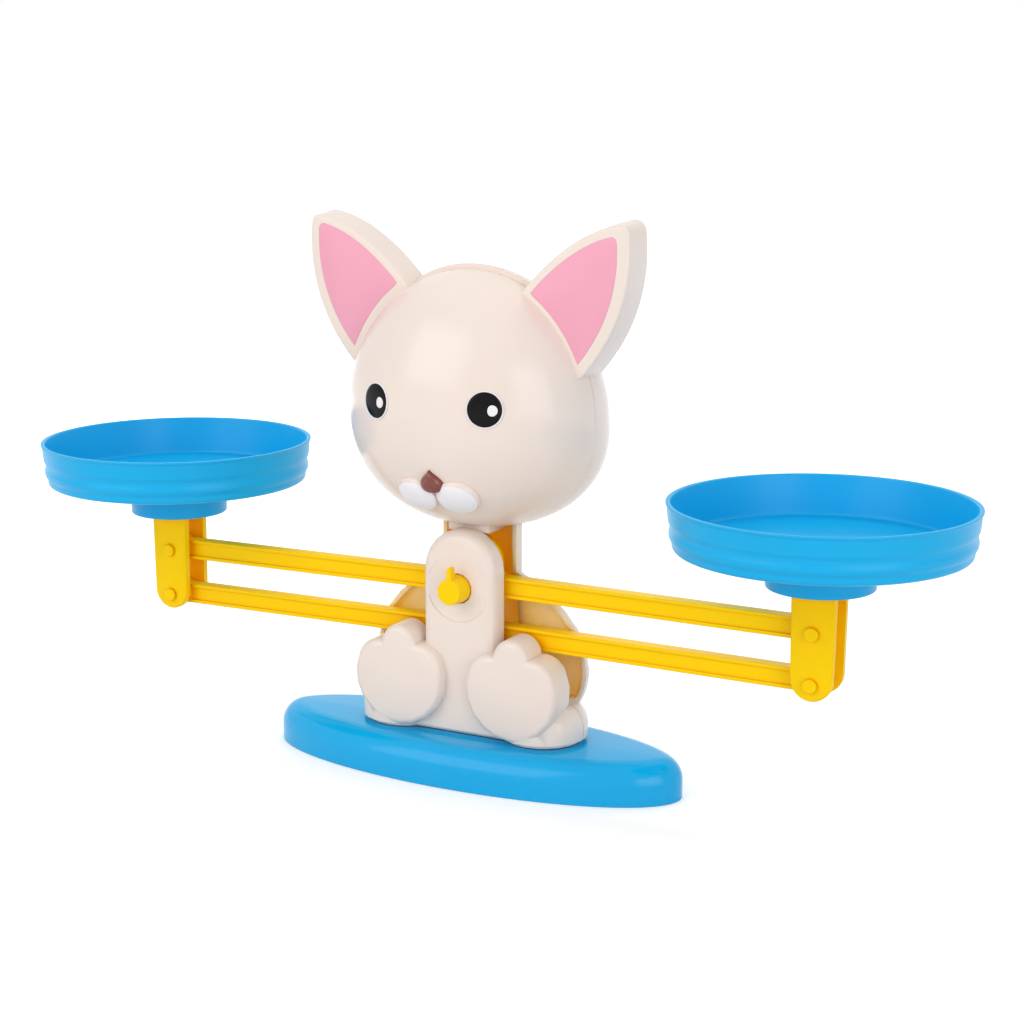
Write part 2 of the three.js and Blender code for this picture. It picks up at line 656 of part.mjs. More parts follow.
// The depth of the face at a place across and up
function faceY(x, z) {
  const rise = z - headZ;
  const across = x / (HEAD_WIDTH / 2);
  const reach = rise < 0
    ? (1 - (-rise / HEAD_LOW) ** CHIN_FULLNESS) ** (1 / CHIN_FULLNESS)
    : Math.sqrt(1 - (rise / HEAD_HIGH) ** 2);
  return HEAD_SET_BACK - HEAD_LEAN * rise - (HEAD_DEPTH / 2) * Math.sqrt(reach ** 2 - across ** 2);
}

// A frame on the face: X to the right, Y up the surface and Z straight out of it
function faceFrame(x, z) {
  const reach = 0.5;
  const slopeX = (faceY(x + reach, z) - faceY(x - reach, z)) / (2 * reach);
  const slopeZ = (faceY(x, z + reach) - faceY(x, z - reach)) / (2 * reach);
  const outward = new THREE.Vector3(slopeX, -1, slopeZ).normalize();
  const right = new THREE.Vector3(0, 0, 1).cross(outward).normalize();
  const up = outward.clone().cross(right);
  return new THREE.Matrix4().makeBasis(right, up, outward).setPosition(x, faceY(x, z), z);
}

// A turned piece that stands out of the face, from a profile of [radius, height] pairs
function turnedOnFace(frame, profile, offsetX = 0, offsetY = 0, sides = EYE_SIDES) {
  const geometry = latheOf(profile, sides).rotateX(Math.PI / 2).translate(offsetX, offsetY, 0);
  return solidOf(geometry.applyMatrix4(frame));
}

const eyeFrames = SIDES.map(({ word, sign }) => ({
  word,
  frame: faceFrame(sign * EYE_SPREAD, headZ + EYE_RISE),
}));

const eyeRim = EYE_DOME / 3;
const domeRadius = (EYE_RADIUS ** 2 + (EYE_DOME - eyeRim) ** 2) / (2 * (EYE_DOME - eyeRim));
const domeHeight = (radius) => EYE_DOME - domeRadius + Math.sqrt(domeRadius ** 2 - radius ** 2);
const eyeDome = Array.from({ length: ROUND_STEPS + 1 }, (_, i) => {
  const radius = EYE_RADIUS * (1 - i / ROUND_STEPS);
  return [radius, domeHeight(radius)];
});
const eyeProfile = [[0, -EYE_SINK], [EYE_RADIUS, -EYE_SINK], ...eyeDome];
const eyePocket = rod(EYE_RADIUS + SEAT_GAP, -EYE_SINK - SEAT_GAP, EYE_DOME + OVERLAP);
const glintFloor = domeHeight(GLINT_OFFSET) - GLINT_DEPTH;

for (const { word, frame } of eyeFrames) {
  const socket = rod(GLINT_RADIUS + SEAT_GAP, glintFloor - SEAT_GAP, EYE_DOME + OVERLAP);
  const dot = rod(GLINT_RADIUS, glintFloor, domeHeight(GLINT_OFFSET) + SEAT_GAP / 2);
  const dome = turnedOnFace(frame, eyeProfile);
  const hole = turnedOnFace(frame, socket, GLINT_OFFSET, -GLINT_DROP, SMALL_SIDES);
  addPart(`eye_${word}`, cut(dome, hole), BLACK);
  addPart(`eye_glint_${word}`, turnedOnFace(frame, dot, GLINT_OFFSET, -GLINT_DROP, SMALL_SIDES), WHITE);
}

// Nose: a rounded pick with its point up. Muzzle: two puffs that meet under it
function noseShape(grow) {
  const half = NOSE_WIDTH / 2 + grow;
  const top = NOSE_HEIGHT / 2 + grow;
  const shape = new THREE.Shape();
  shape.moveTo(0, top);
  shape.bezierCurveTo(half / 2, top / 2, half, top / 3, half, -top / 3);
  shape.bezierCurveTo(half, -0.8 * top, half / 2, -top, 0, -top);
  shape.bezierCurveTo(-half / 2, -top, -half, -0.8 * top, -half, -top / 3);
  shape.bezierCurveTo(-half, top / 3, -half / 2, top / 2, 0, top);
  return shape;
}

function noseSolid(grow) {
  const rounding = NOSE_PROUD / 2;
  const geometry = extrusion(noseShape(grow), NOSE_PROUD - rounding + grow, rounding, CURVE_STEPS / 2);
  return solidOf(geometry.applyMatrix4(faceFrame(0, headZ - NOSE_DROP)));
}

function muzzleSolid(sign, grow) {
  const frame = faceFrame(sign * MUZZLE_SPREAD, headZ - MUZZLE_DROP);
  const geometry = new THREE.SphereGeometry(1, ROUND_SIDES, ROUND_SIDES / 2);
  geometry.scale(MUZZLE_WIDTH / 2 + grow, MUZZLE_HEIGHT / 2 + grow, MUZZLE_PROUD + grow);
  return solidOf(geometry.applyMatrix4(frame));
}

const headSeat = headSolid(SEAT_GAP);
addPart('nose', cut(noseSolid(0), headSeat), BROWN);
const muzzleHalves = { left: [-FAR, -SEAT_GAP / 2], right: [SEAT_GAP / 2, FAR] };
for (const { word, sign } of SIDES) {
  const half = block(muzzleHalves[word], [-FAR, FAR], [-FAR, FAR]);
  const puff = cut(muzzleSolid(sign, 0), headSeat, noseSolid(SEAT_GAP)).intersect(half);
  addPart(`muzzle_${word}`, puff, WHITE);
}

// Ears: thick leaves that stand in the head's seam on a round peg, with a pink face let into the front.
// The outline's places are measured across from the middle and up from the head's widest level.
const EAR_ROOT_IN = [14, 33];
const EAR_FOOT_IN = [20.4, 45.3];
const EAR_TIP_IN = [55.5, 69.2];
const EAR_TIP = [61.6, 70.9];
const EAR_TIP_OUT = [61.9, 64.6];
const EAR_FOOT_OUT = [45.8, 18];
const EAR_ROOT_OUT = [34, 8];
const EAR_PEG = [32.7, 31.3];
const EAR_BULGE_IN = [[30.9, 57.8], [43.4, 66.7]];
const EAR_BULGE_OUT = [[63.4, 47.5], [58, 31.5]];

function earShape(sign, hasRoundTip) {
  const at = ([x, rise]) => [sign * x, headZ + rise];
  const shape = new THREE.Shape();
  shape.moveTo(...at(EAR_ROOT_IN));
  shape.lineTo(...at(EAR_FOOT_IN));
  shape.bezierCurveTo(...EAR_BULGE_IN.flatMap(at), ...at(hasRoundTip ? EAR_TIP_IN : EAR_TIP));
  if (hasRoundTip) shape.quadraticCurveTo(...at(EAR_TIP), ...at(EAR_TIP_OUT));
  shape.bezierCurveTo(...EAR_BULGE_OUT.flatMap(at), ...at(EAR_FOOT_OUT));
  shape.lineTo(...at(EAR_ROOT_OUT));
  shape.lineTo(...at(EAR_ROOT_IN));
  return shape;
}

const earFrontY = SEAM_SET_BACK - EAR_THICKNESS / 2;
const crownSeat = headSolid(SEAT_GAP, HEAD_CROWN).subtract(inFrontOf(SEAM_SET_BACK - SEAT_GAP / 2));

function earPeg(sign, grow) {
  const outward = new THREE.Vector3(sign * EAR_PEG[0], 0, EAR_PEG[1]).normalize();
  const turn = new THREE.Quaternion().setFromUnitVectors(new THREE.Vector3(0, 1, 0), outward);
  const half = EAR_PEG_LENGTH / 2 + grow;
  const geometry = latheOf(rod(EAR_PEG_RADIUS + grow, -half, half), SMALL_SIDES).applyQuaternion(turn);
  return solidOf(geometry.translate(sign * EAR_PEG[0], SEAM_SET_BACK, headZ + EAR_PEG[1]));
}

function earInsert(sign, grow) {
  const face = insetShape(earShape(sign, false), EAR_BORDER - grow, CURVE_STEPS / 2);
  const inside = plate(face, earFrontY + EAR_INSERT + grow, earFrontY - (grow > 0 ? OVERLAP : 0));
  return cut(inside, headSolid(EAR_ROOT_BORDER - grow));
}

function buildEar(sign) {
  const rounded = extrusion(earShape(sign, true), EAR_THICKNESS - 2 * EAR_ROUND, EAR_ROUND, CURVE_STEPS);
  const leaf = solidOf(rounded.rotateX(Math.PI / 2).translate(0, earFrontY + EAR_THICKNESS - EAR_ROUND, 0));
  return cut(join(cut(leaf, headSeat, crownSeat), earPeg(sign, 0)), earInsert(sign, SEAT_GAP));
}

for (const { word, sign } of SIDES) {
  addPart(`ear_${word}`, buildEar(sign), CREAM);
  addPart(`ear_insert_${word}`, earInsert(sign, 0), PINK);
}

// The two half shells of the head, with screw bosses, eye pockets and the opening for the neck
function headShell(crown) {
  return cut(headSolid(0, crown), headSolid(-HEAD_WALL, crown, HOLLOW_SIDES, HOLLOW_RINGS));
}

const headCore = headSolid(-HEAD_WALL / 2);
const earHoles = SIDES.map(({ sign }) => earPeg(sign, SEAT_GAP));

function buildHeadFront() {
  const seamY = SEAM_SET_BACK - SEAT_GAP / 2;
  const bosses = headScrews.map(({ x, z }) => {
    const boss = rod(holeRadius + BOSS_WALL, -HEAD_DEPTH, seamY);
    return turnedAcross(boss, x, z, SMALL_SIDES).intersect(headCore);
  });
  const bores = headScrews.map(({ x, z }) => {
    return turnedAcross(rod(holeRadius, headSeatY - boreDepth, HEAD_DEPTH), x, z, SMALL_SIDES);
  });
  // A peg under the chin that stands in the mouth of the neck channel
  const pegBackY = shellBackY - SHELL_WALL - 2 * SEAT_GAP;
  const pegLevels = [headBottomZ - HEAD_DIP, headBottomZ + NECK_ENTRY / 2];
  const peg = block([-PEG_WIDTH / 2, PEG_WIDTH / 2], [-hubHalf, pegBackY], pegLevels);
  const pockets = eyeFrames.map(({ frame }) => turnedOnFace(frame, eyePocket));
  const shell = headShell(0).subtract(behind(seamY));
  return join(cut(join(shell, ...bosses), ...bores, ...pockets, ...earHoles), peg);
}

function buildHeadBack() {
  const seamY = SEAM_SET_BACK + SEAT_GAP / 2;
  const bosses = headScrews.map(({ x, z }) => {
    return turnedAcross(rod(screwBossRadius, seamY, HEAD_DEPTH), x, z, SMALL_SIDES).intersect(headCore);
  });
  const bores = headScrews.flatMap(({ x, z }) => [
    turnedAcross(rod(counterboreRadius, headSeatY, HEAD_DEPTH), x, z, SMALL_SIDES),
    turnedAcross(rod(holeRadius, 0, HEAD_DEPTH), x, z, SMALL_SIDES),
  ]);
  const neckHalf = NECK_WIDTH / 2 + SEAT_GAP;
  const opening = block([-neckHalf, neckHalf], [0, shellBackY + SEAT_GAP], [headBottomZ - OVERLAP, neckTopZ]);
  const shell = headShell(HEAD_CROWN).subtract(inFrontOf(seamY));
  return cut(join(shell, ...bosses), ...bores, opening, ...earHoles);
}

addPart('head_front', buildHeadFront(), CREAM);
addPart('head_back', buildHeadBack(), CREAM);
for (const { name, x, z } of headScrews) {
  addPart(name, rearScrew(x, z, headSeatY + SEAT_GAP), STEEL);
}

// Beams: an I-section bar with an eye at each end and a hub on the middle pivot
const eyeRadius = PIN_RADIUS + RUNNING_GAP + EYE_WALL;

function beamBar(endZ, middleZ) {
  const half = BEAM_HEIGHT / 2;
  const shape = new THREE.Shape();
  shape.moveTo(-ARM_LENGTH, endZ - half);
  shape.lineTo(0, middleZ - half);
  shape.lineTo(ARM_LENGTH, endZ - half);
  shape.absarc(ARM_LENGTH, endZ, half, -Math.PI / 2, Math.PI / 2);
  shape.lineTo(0, middleZ + half);
  shape.lineTo(-ARM_LENGTH, endZ + half);
  shape.absarc(-ARM_LENGTH, endZ, half, Math.PI / 2, (3 * Math.PI) / 2);
  return plate(shape, BEAM_THICKNESS / 2, -BEAM_THICKNESS / 2);
}

// The hollows along both faces of the bar, which leave a flange above and below
function beamHollows(endZ, middleZ, hubReach) {
  const half = BEAM_HEIGHT / 2 - BEAM_FLANGE;
  const end = ARM_LENGTH - eyeRadius - BEAM_FLANGE;
  const levelAt = (x) => middleZ + ((endZ - middleZ) * x) / ARM_LENGTH;
  return SIDES.flatMap(({ sign }) => {
    const shape = new THREE.Shape();
    shape.moveTo(sign * hubReach, levelAt(hubReach) - half);
    shape.lineTo(sign * end, levelAt(end) - half);
    shape.lineTo(sign * end, levelAt(end) + half);
    shape.lineTo(sign * hubReach, levelAt(hubReach) + half);
    return [
      plate(shape, -BEAM_WEB / 2, -BEAM_THICKNESS),
      plate(shape, BEAM_WEB / 2, BEAM_THICKNESS),
    ];
  });
}

function buildBeam(pivotZ, hub, boreRadius, hubReach) {
  const endZ = pivotZ - END_PIVOT_DROP;
  const eye = rod(eyeRadius, -eyeHalf, eyeHalf);
  const eyes = SIDES.map(({ sign }) => turnedAcross(eye, sign * ARM_LENGTH, endZ));
  const eyeBores = SIDES.map(({ sign }) => {
    return turnedAcross(rod(PIN_RADIUS + RUNNING_GAP, -FAR, FAR), sign * ARM_LENGTH, endZ, SMALL_SIDES);
  });
  const bar = cut(beamBar(endZ, pivotZ), ...beamHollows(endZ, pivotZ, hubReach));
  const bore = turnedAcross(rod(boreRadius, -FAR, FAR), 0, pivotZ);
  return cut(join(bar, hub, ...eyes), bore, ...eyeBores);
}

// The upper hub is a tongue that stands up from the bar, so that it clears the lower beam
function upperHub() {
  const half = HUB_WIDTH / 2;
  const footHalf = half + HUB_FILLET;
  const barTopZ = upperPivotZ + BEAM_HEIGHT / 2;
  const shape = new THREE.Shape();
  shape.moveTo(-footHalf, upperPivotZ - BEAM_HEIGHT / 2);
  shape.lineTo(footHalf, upperPivotZ - BEAM_HEIGHT / 2);
  shape.lineTo(footHalf, barTopZ);
  shape.quadraticCurveTo(half, barTopZ, half, barTopZ + HUB_FILLET);
  shape.absarc(0, hubTopZ - half, half, 0, Math.PI);
  shape.lineTo(-half, barTopZ + HUB_FILLET);
  shape.quadraticCurveTo(-half, barTopZ, -footHalf, barTopZ);
  const boss = turnedAcross(rod(SHAFT_RADIUS + HUB_WALL, -hubHalf, hubHalf), 0, upperPivotZ);
  return join(plate(shape, hubHalf, -hubHalf), boss);
}

const lowerHubRadius = AXLE_RADIUS + RUNNING_GAP + HUB_WALL;
const lowerHub = turnedAcross(rod(lowerHubRadius, -hubHalf, hubHalf), 0, lowerPivotZ);
const upperBore = SHAFT_RADIUS + SEAT_GAP;
const lowerBore = AXLE_RADIUS + RUNNING_GAP;
const upperReach = HUB_WIDTH / 2 + HUB_FILLET + BEAM_FLANGE;
addPart('upper_beam', buildBeam(upperPivotZ, upperHub(), upperBore, upperReach), YELLOW);
addPart('lower_beam', buildBeam(lowerPivotZ, lowerHub, lowerBore, lowerHubRadius + BEAM_FLANGE), YELLOW);

// The lower beam's fixed axle, seated in a boss on each half of the body
const lowerAxle = rod(AXLE_RADIUS, panelY + BODY_WALL + SEAT_GAP, axleEndY);
addPart('lower_axle', turnedAcross(lowerAxle, 0, lowerPivotZ), STEEL);

// Pivot knob: a tapered button with an upright pointer, on the shaft that carries the upper beam
function buildKnob() {
  const faceAtY = panelY - KNOB_REACH;
  const shoulderY = -bearingY;
  const profile = [
    [0, faceAtY],
    [KNOB_FACE_RADIUS, faceAtY],
    [KNOB_RADIUS, panelY],
    [KNOB_RADIUS, shoulderY],
    [SHAFT_RADIUS, shoulderY],
    [SHAFT_RADIUS, hubHalf],
    [AXLE_RADIUS, hubHalf],
    [AXLE_RADIUS, axleEndY],
    [0, axleEndY],
  ];
  const half = POINTER_WIDTH / 2;
  const tipHalf = half * POINTER_TAPER;
  const tip = upperPivotZ + POINTER_REACH;
  const shape = new THREE.Shape();
  shape.moveTo(-half, upperPivotZ);
  shape.lineTo(half, upperPivotZ);
  shape.lineTo(tipHalf, tip - half);
  shape.quadraticCurveTo(tipHalf, tip, 0, tip);
  shape.quadraticCurveTo(-tipHalf, tip, -tipHalf, tip - half);
  const pointer = plate(shape, faceAtY + POINTER_DEPTH, faceAtY, 0, ROUND_STEPS);
  return join(turnedAcross(profile, 0, upperPivotZ), pointer);
}

addPart('pivot_knob', buildKnob(), YELLOW);

// Posts: two plates with round feet hang from a plug that fills the pan's collar
function buildPost(x) {
  const half = POST_WIDTH / 2;
  const footRadius = half - POST_TAPER;
  const footZ = lowerPivotZ - POST_TAIL + footRadius;
  const shape = new THREE.Shape();
  shape.moveTo(x + half, collarZ + OVERLAP);
  shape.lineTo(x - half, collarZ + OVERLAP);
  shape.absarc(x, footZ, footRadius, Math.PI, 2 * Math.PI);
  const rounding = POST_PLATE / 4;
  const plugRadius = COLLAR_RADIUS - COLLAR_WALL - SEAT_GAP;
  const plugTopZ = panZ - SEAT_GAP;
  const plug = turnedUp([
    [0, collarZ],
    [plugRadius, collarZ],
    [plugRadius, plugTopZ],
    [plugRadius - POST_PLATE, plugTopZ],
    [plugRadius - POST_PLATE, collarZ + POST_PLATE],
    [0, collarZ + POST_PLATE],
  ], x, 0);
  const bore = rod(PIN_RADIUS + SEAT_GAP, -FAR, FAR);
  const bores = pinLevels.map(({ z }) => turnedAcross(bore, x, z, SMALL_SIDES));
  const front = plate(shape, -forkInnerY, -forkOuterY, rounding);
  const rear = plate(shape, forkInnerY, forkOuterY, rounding);
  return cut(join(front, rear, plug), ...bores);
}

const pinLevels = [
  { word: 'upper', z: upperPivotZ - END_PIVOT_DROP },
  { word: 'lower', z: lowerPivotZ - END_PIVOT_DROP },
];

function buildPin(x, z) {
  const seatY = -forkOuterY - SEAT_GAP;
  const faceAtY = seatY - PIN_HEAD_HEIGHT;
  const edge = PIN_HEAD_HEIGHT / 3;
  return turnedAcross([
    [0, faceAtY],
    [PIN_HEAD_RADIUS - edge, faceAtY],
    [PIN_HEAD_RADIUS, faceAtY + edge],
    [PIN_HEAD_RADIUS, seatY],
    [PIN_RADIUS, seatY],
    [PIN_RADIUS, forkOuterY],
    [0, forkOuterY],
  ], x, z, SMALL_SIDES);
}

// Pans: a tapered wall with a lip, a groove and a rounded band, and a collar underneath
function panProfile() {
  const drop = (depth) => rimZ - depth;
  const wallRadius = PAN_RADIUS - PAN_LIP;
  const grooveRadius = wallRadius - 2 * PAN_GROOVE;
  const bandMiddle = (PAN_BAND_TOP + PAN_BAND_BOTTOM) / 2 + PAN_GROOVE;
  const bandRadius = wallRadius - PAN_GROOVE - PAN_GROOVE / 4;
  const footRadius = PAN_RADIUS - PAN_FOOT_INSET;
  const cornerCentre = [footRadius - PAN_CORNER, panZ + PAN_CORNER];
  const insideRadius = footRadius - PAN_WALL;
  const insideCorner = [insideRadius - PAN_CORNER, panZ + PAN_FLOOR + PAN_CORNER];
  const socketRadius = COLLAR_RADIUS - COLLAR_WALL;
  return [
    [0, panZ],
    [socketRadius, panZ],
    [socketRadius, collarZ],
    [COLLAR_RADIUS, collarZ],
    [COLLAR_RADIUS, panZ],
    ...arcPoints(cornerCentre, PAN_CORNER, -Math.PI / 2, 0),
    [footRadius, drop(PAN_BAND_BOTTOM + 2 * PAN_GROOVE)],
    [bandRadius - PAN_GROOVE / 2, drop(PAN_BAND_BOTTOM)],
    [bandRadius, drop(bandMiddle)],
    [grooveRadius, drop(PAN_BAND_TOP + 4 * PAN_GROOVE)],
    [grooveRadius, drop(PAN_BAND_TOP + 2 * PAN_GROOVE)],
    [wallRadius - PAN_GROOVE, drop(PAN_BAND_TOP)],
    [wallRadius, drop(2.5 * PAN_LIP)],
    [PAN_RADIUS, drop(1.5 * PAN_LIP)],
    [PAN_RADIUS - PAN_LIP / 2, rimZ],
    [PAN_RADIUS - PAN_WALL, rimZ],
    [insideRadius, drop(PAN_BAND_BOTTOM)],
    ...arcPoints(insideCorner, PAN_CORNER, 0, -Math.PI / 2),
    [0, panZ + PAN_FLOOR],
  ];
}

for (const { word, sign } of SIDES) {
  const x = sign * ARM_LENGTH;
  addPart(`${word}_post`, buildPost(x), YELLOW);
  for (const level of pinLevels) {
    addPart(`${word}_${level.word}_pin`, buildPin(x, level.z), YELLOW);
  }
  addPart(`${word}_pan`, turnedUp(panProfile(), x, 0, PAN_SIDES), BLUE);
}

export default scale;
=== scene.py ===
"""Looks for a toy balance scale: a seated cat that carries two pans on parallel beams.

Metres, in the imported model's own frame: +X to the right pan, -Y the way the face looks, +Z up.
The moulded pieces that show smooth curves are made again here at a finer step than the solids.
Their sizes are written in millimetres, as on a drawing, and turned into metres when a piece is made.
"""

import json
import math

import bmesh
import bpy
from mathutils import Matrix, Vector
from mathutils.geometry import intersect_line_line_2d, tessellate_polygon


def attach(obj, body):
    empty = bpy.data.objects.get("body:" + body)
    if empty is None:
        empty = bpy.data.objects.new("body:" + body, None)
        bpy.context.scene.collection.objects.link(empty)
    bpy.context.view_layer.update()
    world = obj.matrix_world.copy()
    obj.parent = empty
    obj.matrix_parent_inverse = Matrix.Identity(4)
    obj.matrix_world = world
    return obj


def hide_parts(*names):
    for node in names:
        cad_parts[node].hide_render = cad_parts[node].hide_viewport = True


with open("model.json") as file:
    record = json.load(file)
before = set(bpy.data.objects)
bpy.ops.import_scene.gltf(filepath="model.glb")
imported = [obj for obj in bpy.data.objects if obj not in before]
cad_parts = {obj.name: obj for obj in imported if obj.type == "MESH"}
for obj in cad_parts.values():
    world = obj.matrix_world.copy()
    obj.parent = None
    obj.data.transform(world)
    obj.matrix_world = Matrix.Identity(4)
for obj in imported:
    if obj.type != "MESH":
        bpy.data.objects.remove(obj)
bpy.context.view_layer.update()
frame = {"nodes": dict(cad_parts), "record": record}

MM = 0.001

# Camera, solved from the round rims of the pans and the oval base in the photograph
CAMERA_PLACE = (325.3 * MM, -590.88 * MM, 236.47 * MM)
CAMERA_AZIMUTH = 27.69
CAMERA_PITCH = 12.09
CAMERA_LENS = 69.72
CAMERA_SENSOR = 36.0
CAMERA_CLIP_START = 0.01

# Steps of the fine surfaces
TURN_STEPS = 144
SMALL_STEPS = 40
HEAD_RINGS = 72
PUFF_RINGS = 24
ARC_STEPS = 8

# A ring smaller than this, in millimetres, is a tip
TIP_RADIUS = 1e-6

# How far a sharp corner may run out when an outline is moved in, as the least cosine of half its turn
LEAST_SQUARENESS = 0.3

# Angle that parts smooth shading from a crisp edge, and the distance at which points are one
SMOOTH_ANGLE = 52.0
MERGE_DISTANCE = 0.01 * MM

# Sizes of the solids that the fine pieces follow, in millimetres.
# Head, with its seam, chin peg and neck
HEAD_MIDDLE = Vector((0.0, 4.5, 124.8))
HEAD_HALF_WIDTH = 47.0
HEAD_HALF_DEPTH = 37.8
HEAD_LOW = 38.2
HEAD_HIGH = 51.5
HEAD_CROWN = 1.9
HEAD_LEAN = 0.1
HEAD_WALL = 2.4
CHIN_FULLNESS = 2.16
SEAM_Y = 0.2
SEAM_GAP = 0.02
PEG_HALF_WIDTH = 8.0
PEG_DEPTHS = (-3.3, 10.1)
PEG_LEVELS = (85.8, 91.6)
NECK_HALF_WIDTH = 14.9
NECK_BACK_Y = 12.7
NECK_TOP_Z = 96.6
NECK_CUT_Y = -5.0
NECK_CUT_Z = 80.0
HEAD_BORE_CUT = (10.0, 60.0)
TUBE_SET_BACK = 0.8

# Ears and their pink faces
EAR_FRONT_Y = -6.05
EAR_BACK_Y = 6.45
EAR_ROUND = 0.9
EAR_DRAFT = 1.1
EAR_BORDER = 4.4
EAR_ROOT_BORDER = 2.4
PINK_PROUD = 0.06
PINK_DEPTH = 0.5
PINK_ROUND = 0.03

# Eyes: levels are those of a dome's edge and middle, and the white rim round each eye, partly a printed
# outline and partly a painted highlight along its edge, has a radius, a level and a thickness
EYE_RADIUS = 5.85
EYE_SPREAD = 20.7
EYE_RISE = 8.9
EYE_LEVELS = (-0.1, 0.5)
EYE_HIGHLIGHT_RIM = (EYE_RADIUS + 0.2, -0.12, 0.28)
DOME_ROOT = 1.2
GLINT_LEVELS = (0.42, 0.55)
GLINT_RADIUS = 1.85
GLINT_OFFSET = 2.5
GLINT_DROP = 0.25

# Nose
NOSE_DROP = 16.6
NOSE_HALF_WIDTH = 4.2
NOSE_HALF_HEIGHT = 4.4
NOSE_PROUD = 3.0
NOSE_ROOT = 1.6
NOSE_MIDDLE_DROP = 0.25
NOSE_SIDE_POWER = 0.8
NOSE_TOP_POWER = 0.9

# Control points of the nose's right side, as shares of its half width and half height
NOSE_UPPER_SIDE = ((0, 1), (0.35, 0.55), (1, 0.3), (1, -0.32))
NOSE_LOWER_SIDE = ((1, -0.32), (1, -0.82), (0.5, -1), (0, -1))

# Muzzle: angles in degrees, of the puffs' soft skin and of the white paint on them
MUZZLE_SPREAD = 7.6
MUZZLE_DROP = 22.4
MUZZLE_HALVES = (7.6, 7.25, 3.0)
PUFF_REACH = 120.0
PAINT_REACH = 75.0
PAINT_LEAN = 6.0
PAINT_PROUD = 0.03

# Base and pans
BASE_HALF_LENGTH = 79.6
BASE_HALF_DEPTH = 27.6
BASE_HEIGHT = 14.2
BASE_ROUND = 7.9
BASE_WALL = 2.4
ARM_LENGTH = 126.7
RIM_Z = 107.6
PAN_Z = 91.9
PAN_FLOOR = 1.8
COLLAR_Z = 80.1

# Pivots, knob and pointer
UPPER_PIVOT_Z = 67.1
END_PIVOT_LEVELS = {"upper": 66.1, "lower": 49.0}
KNOB_FACE_Y = -18.0
POINTER_DEPTH = 3.4
POINTER_SET_BACK = 0.1
POINTER_ROUND = 0.2
POINTER_ARC_STEPS = 3

# Screws: the middle of each seat, then their own sizes and those of their bosses
BASE_SCREW_X = 23.1
BASE_SCREW_Y = 7.8
BASE_SEAT_Z = 10.0
BODY_SCREW = (32.1, 4.2, 20.4)
HEAD_SCREW_SEAT_Y = 4.7
HEAD_SCREWS = {"left": (-23.5, 110.1), "right": (23.5, 110.1), "top": (0.0, 156.7)}
SCREW_RADIUS = 1.4
SCREW_HEAD_RADIUS = 2.7
SCREW_HEAD_HEIGHT = 2.0
SCREW_LENGTH = 11.0
COUNTERBORE_RADIUS = 3.0
SEAT_GAP = 0.3
BOSS_LIP = 2.3
BOSS_OVERLAP = 0.4
TUBE_SEAM_GAP = 0.2
BOSS_RADIUS = 4.5
CROSS_HALF_LENGTH = 1.55
CROSS_HALF_WIDTH = 0.38
CROSS_DEPTH = 1.1
CROSS_TAPER = 0.8

# Side of a screw's head, as shares of its radius and height
SCREW_HEAD_SIDE = ((1, 0), (1, 0.7), (0.94, 0.92), (0.86, 1))
SCREW_FACE_RADIUS = SCREW_HEAD_RADIUS * SCREW_HEAD_SIDE[-1][0]

SIDES = {"left": -1, "right": 1}
BODIES = frame["record"]["behaviour"]["bodies"]
BODY_OF = {node: body for body, nodes in BODIES.items() for node in nodes}


# Node helpers

def new_material(name):
    material = bpy.data.materials.new(name)
    material.use_nodes = True
    material.node_tree.nodes.clear()
    return material, material.node_tree


def add_node(tree, kind, **settings):
    node = tree.nodes.new(kind)
    for key, value in settings.items():
        setattr(node, key, value)
    return node


def set_inputs(node, **values):
    for key, value in values.items():
        node.inputs[key.replace("_", " ")].default_value = value


def noise(tree, coordinates, scale, detail=2.0, roughness=0.5):
    node = add_node(tree, "ShaderNodeTexNoise")
    set_inputs(node, Scale=scale, Detail=detail, Roughness=roughness)
    tree.links.new(coordinates, node.inputs["Vector"])
    return node.outputs["Fac"]


def spread(tree, value, low, high, from_low=0.3, from_high=0.7):
    """Spreads a range, if none is given the one that most of a noise fills, from low to high."""
    node = add_node(tree, "ShaderNodeMapRange")
    set_inputs(node, From_Min=from_low, From_Max=from_high, To_Min=low, To_Max=high)
    tree.links.new(value, node.inputs["Value"])
    return node.outputs["Result"]


def blend_colours(tree, factor, first, second):
    node = add_node(tree, "ShaderNodeMixRGB")
    tree.links.new(factor, node.inputs["Fac"])
    for key, colour in (("Color1", first), ("Color2", second)):
        if isinstance(colour, bpy.types.NodeSocket):
            tree.links.new(colour, node.inputs[key])
        else:
            node.inputs[key].default_value = (*colour, 1)
    return node.outputs["Color"]


def bump(tree, height, strength, distance, normal=None):
    node = add_node(tree, "ShaderNodeBump")
    set_inputs(node, Strength=strength, Distance=distance)
    tree.links.new(height, node.inputs["Height"])
    if normal is not None:
        tree.links.new(normal, node.inputs["Normal"])
    return node.outputs["Normal"]


def linear(red, green, blue):
    """A colour given as 0 to 255 screen values, as the linear values that a shader takes."""
    def one(value):
        share = value / 255
        return share / 12.92 if share <= 0.04045 else ((share + 0.055) / 1.055) ** 2.4
    return tuple(one(value) for value in (red, green, blue))


# Materials

# Where the open wings of the rear shell start, across from the middle and up from the table, and where
# the painted bounce light turns from its deep colour to its wing colour
WING_INNER_X = (14.5 * MM, 19.0 * MM)
WING_LOWER_Z = (46.0 * MM, 54.0 * MM)

# How many clouds, streaks, grains and sink marks the plastic has to a metre
CLOUD_COUNT = 24.0
STREAK_COUNT = 90.0
PEEL_COUNT = 520.0
SINK_COUNT = 40.0

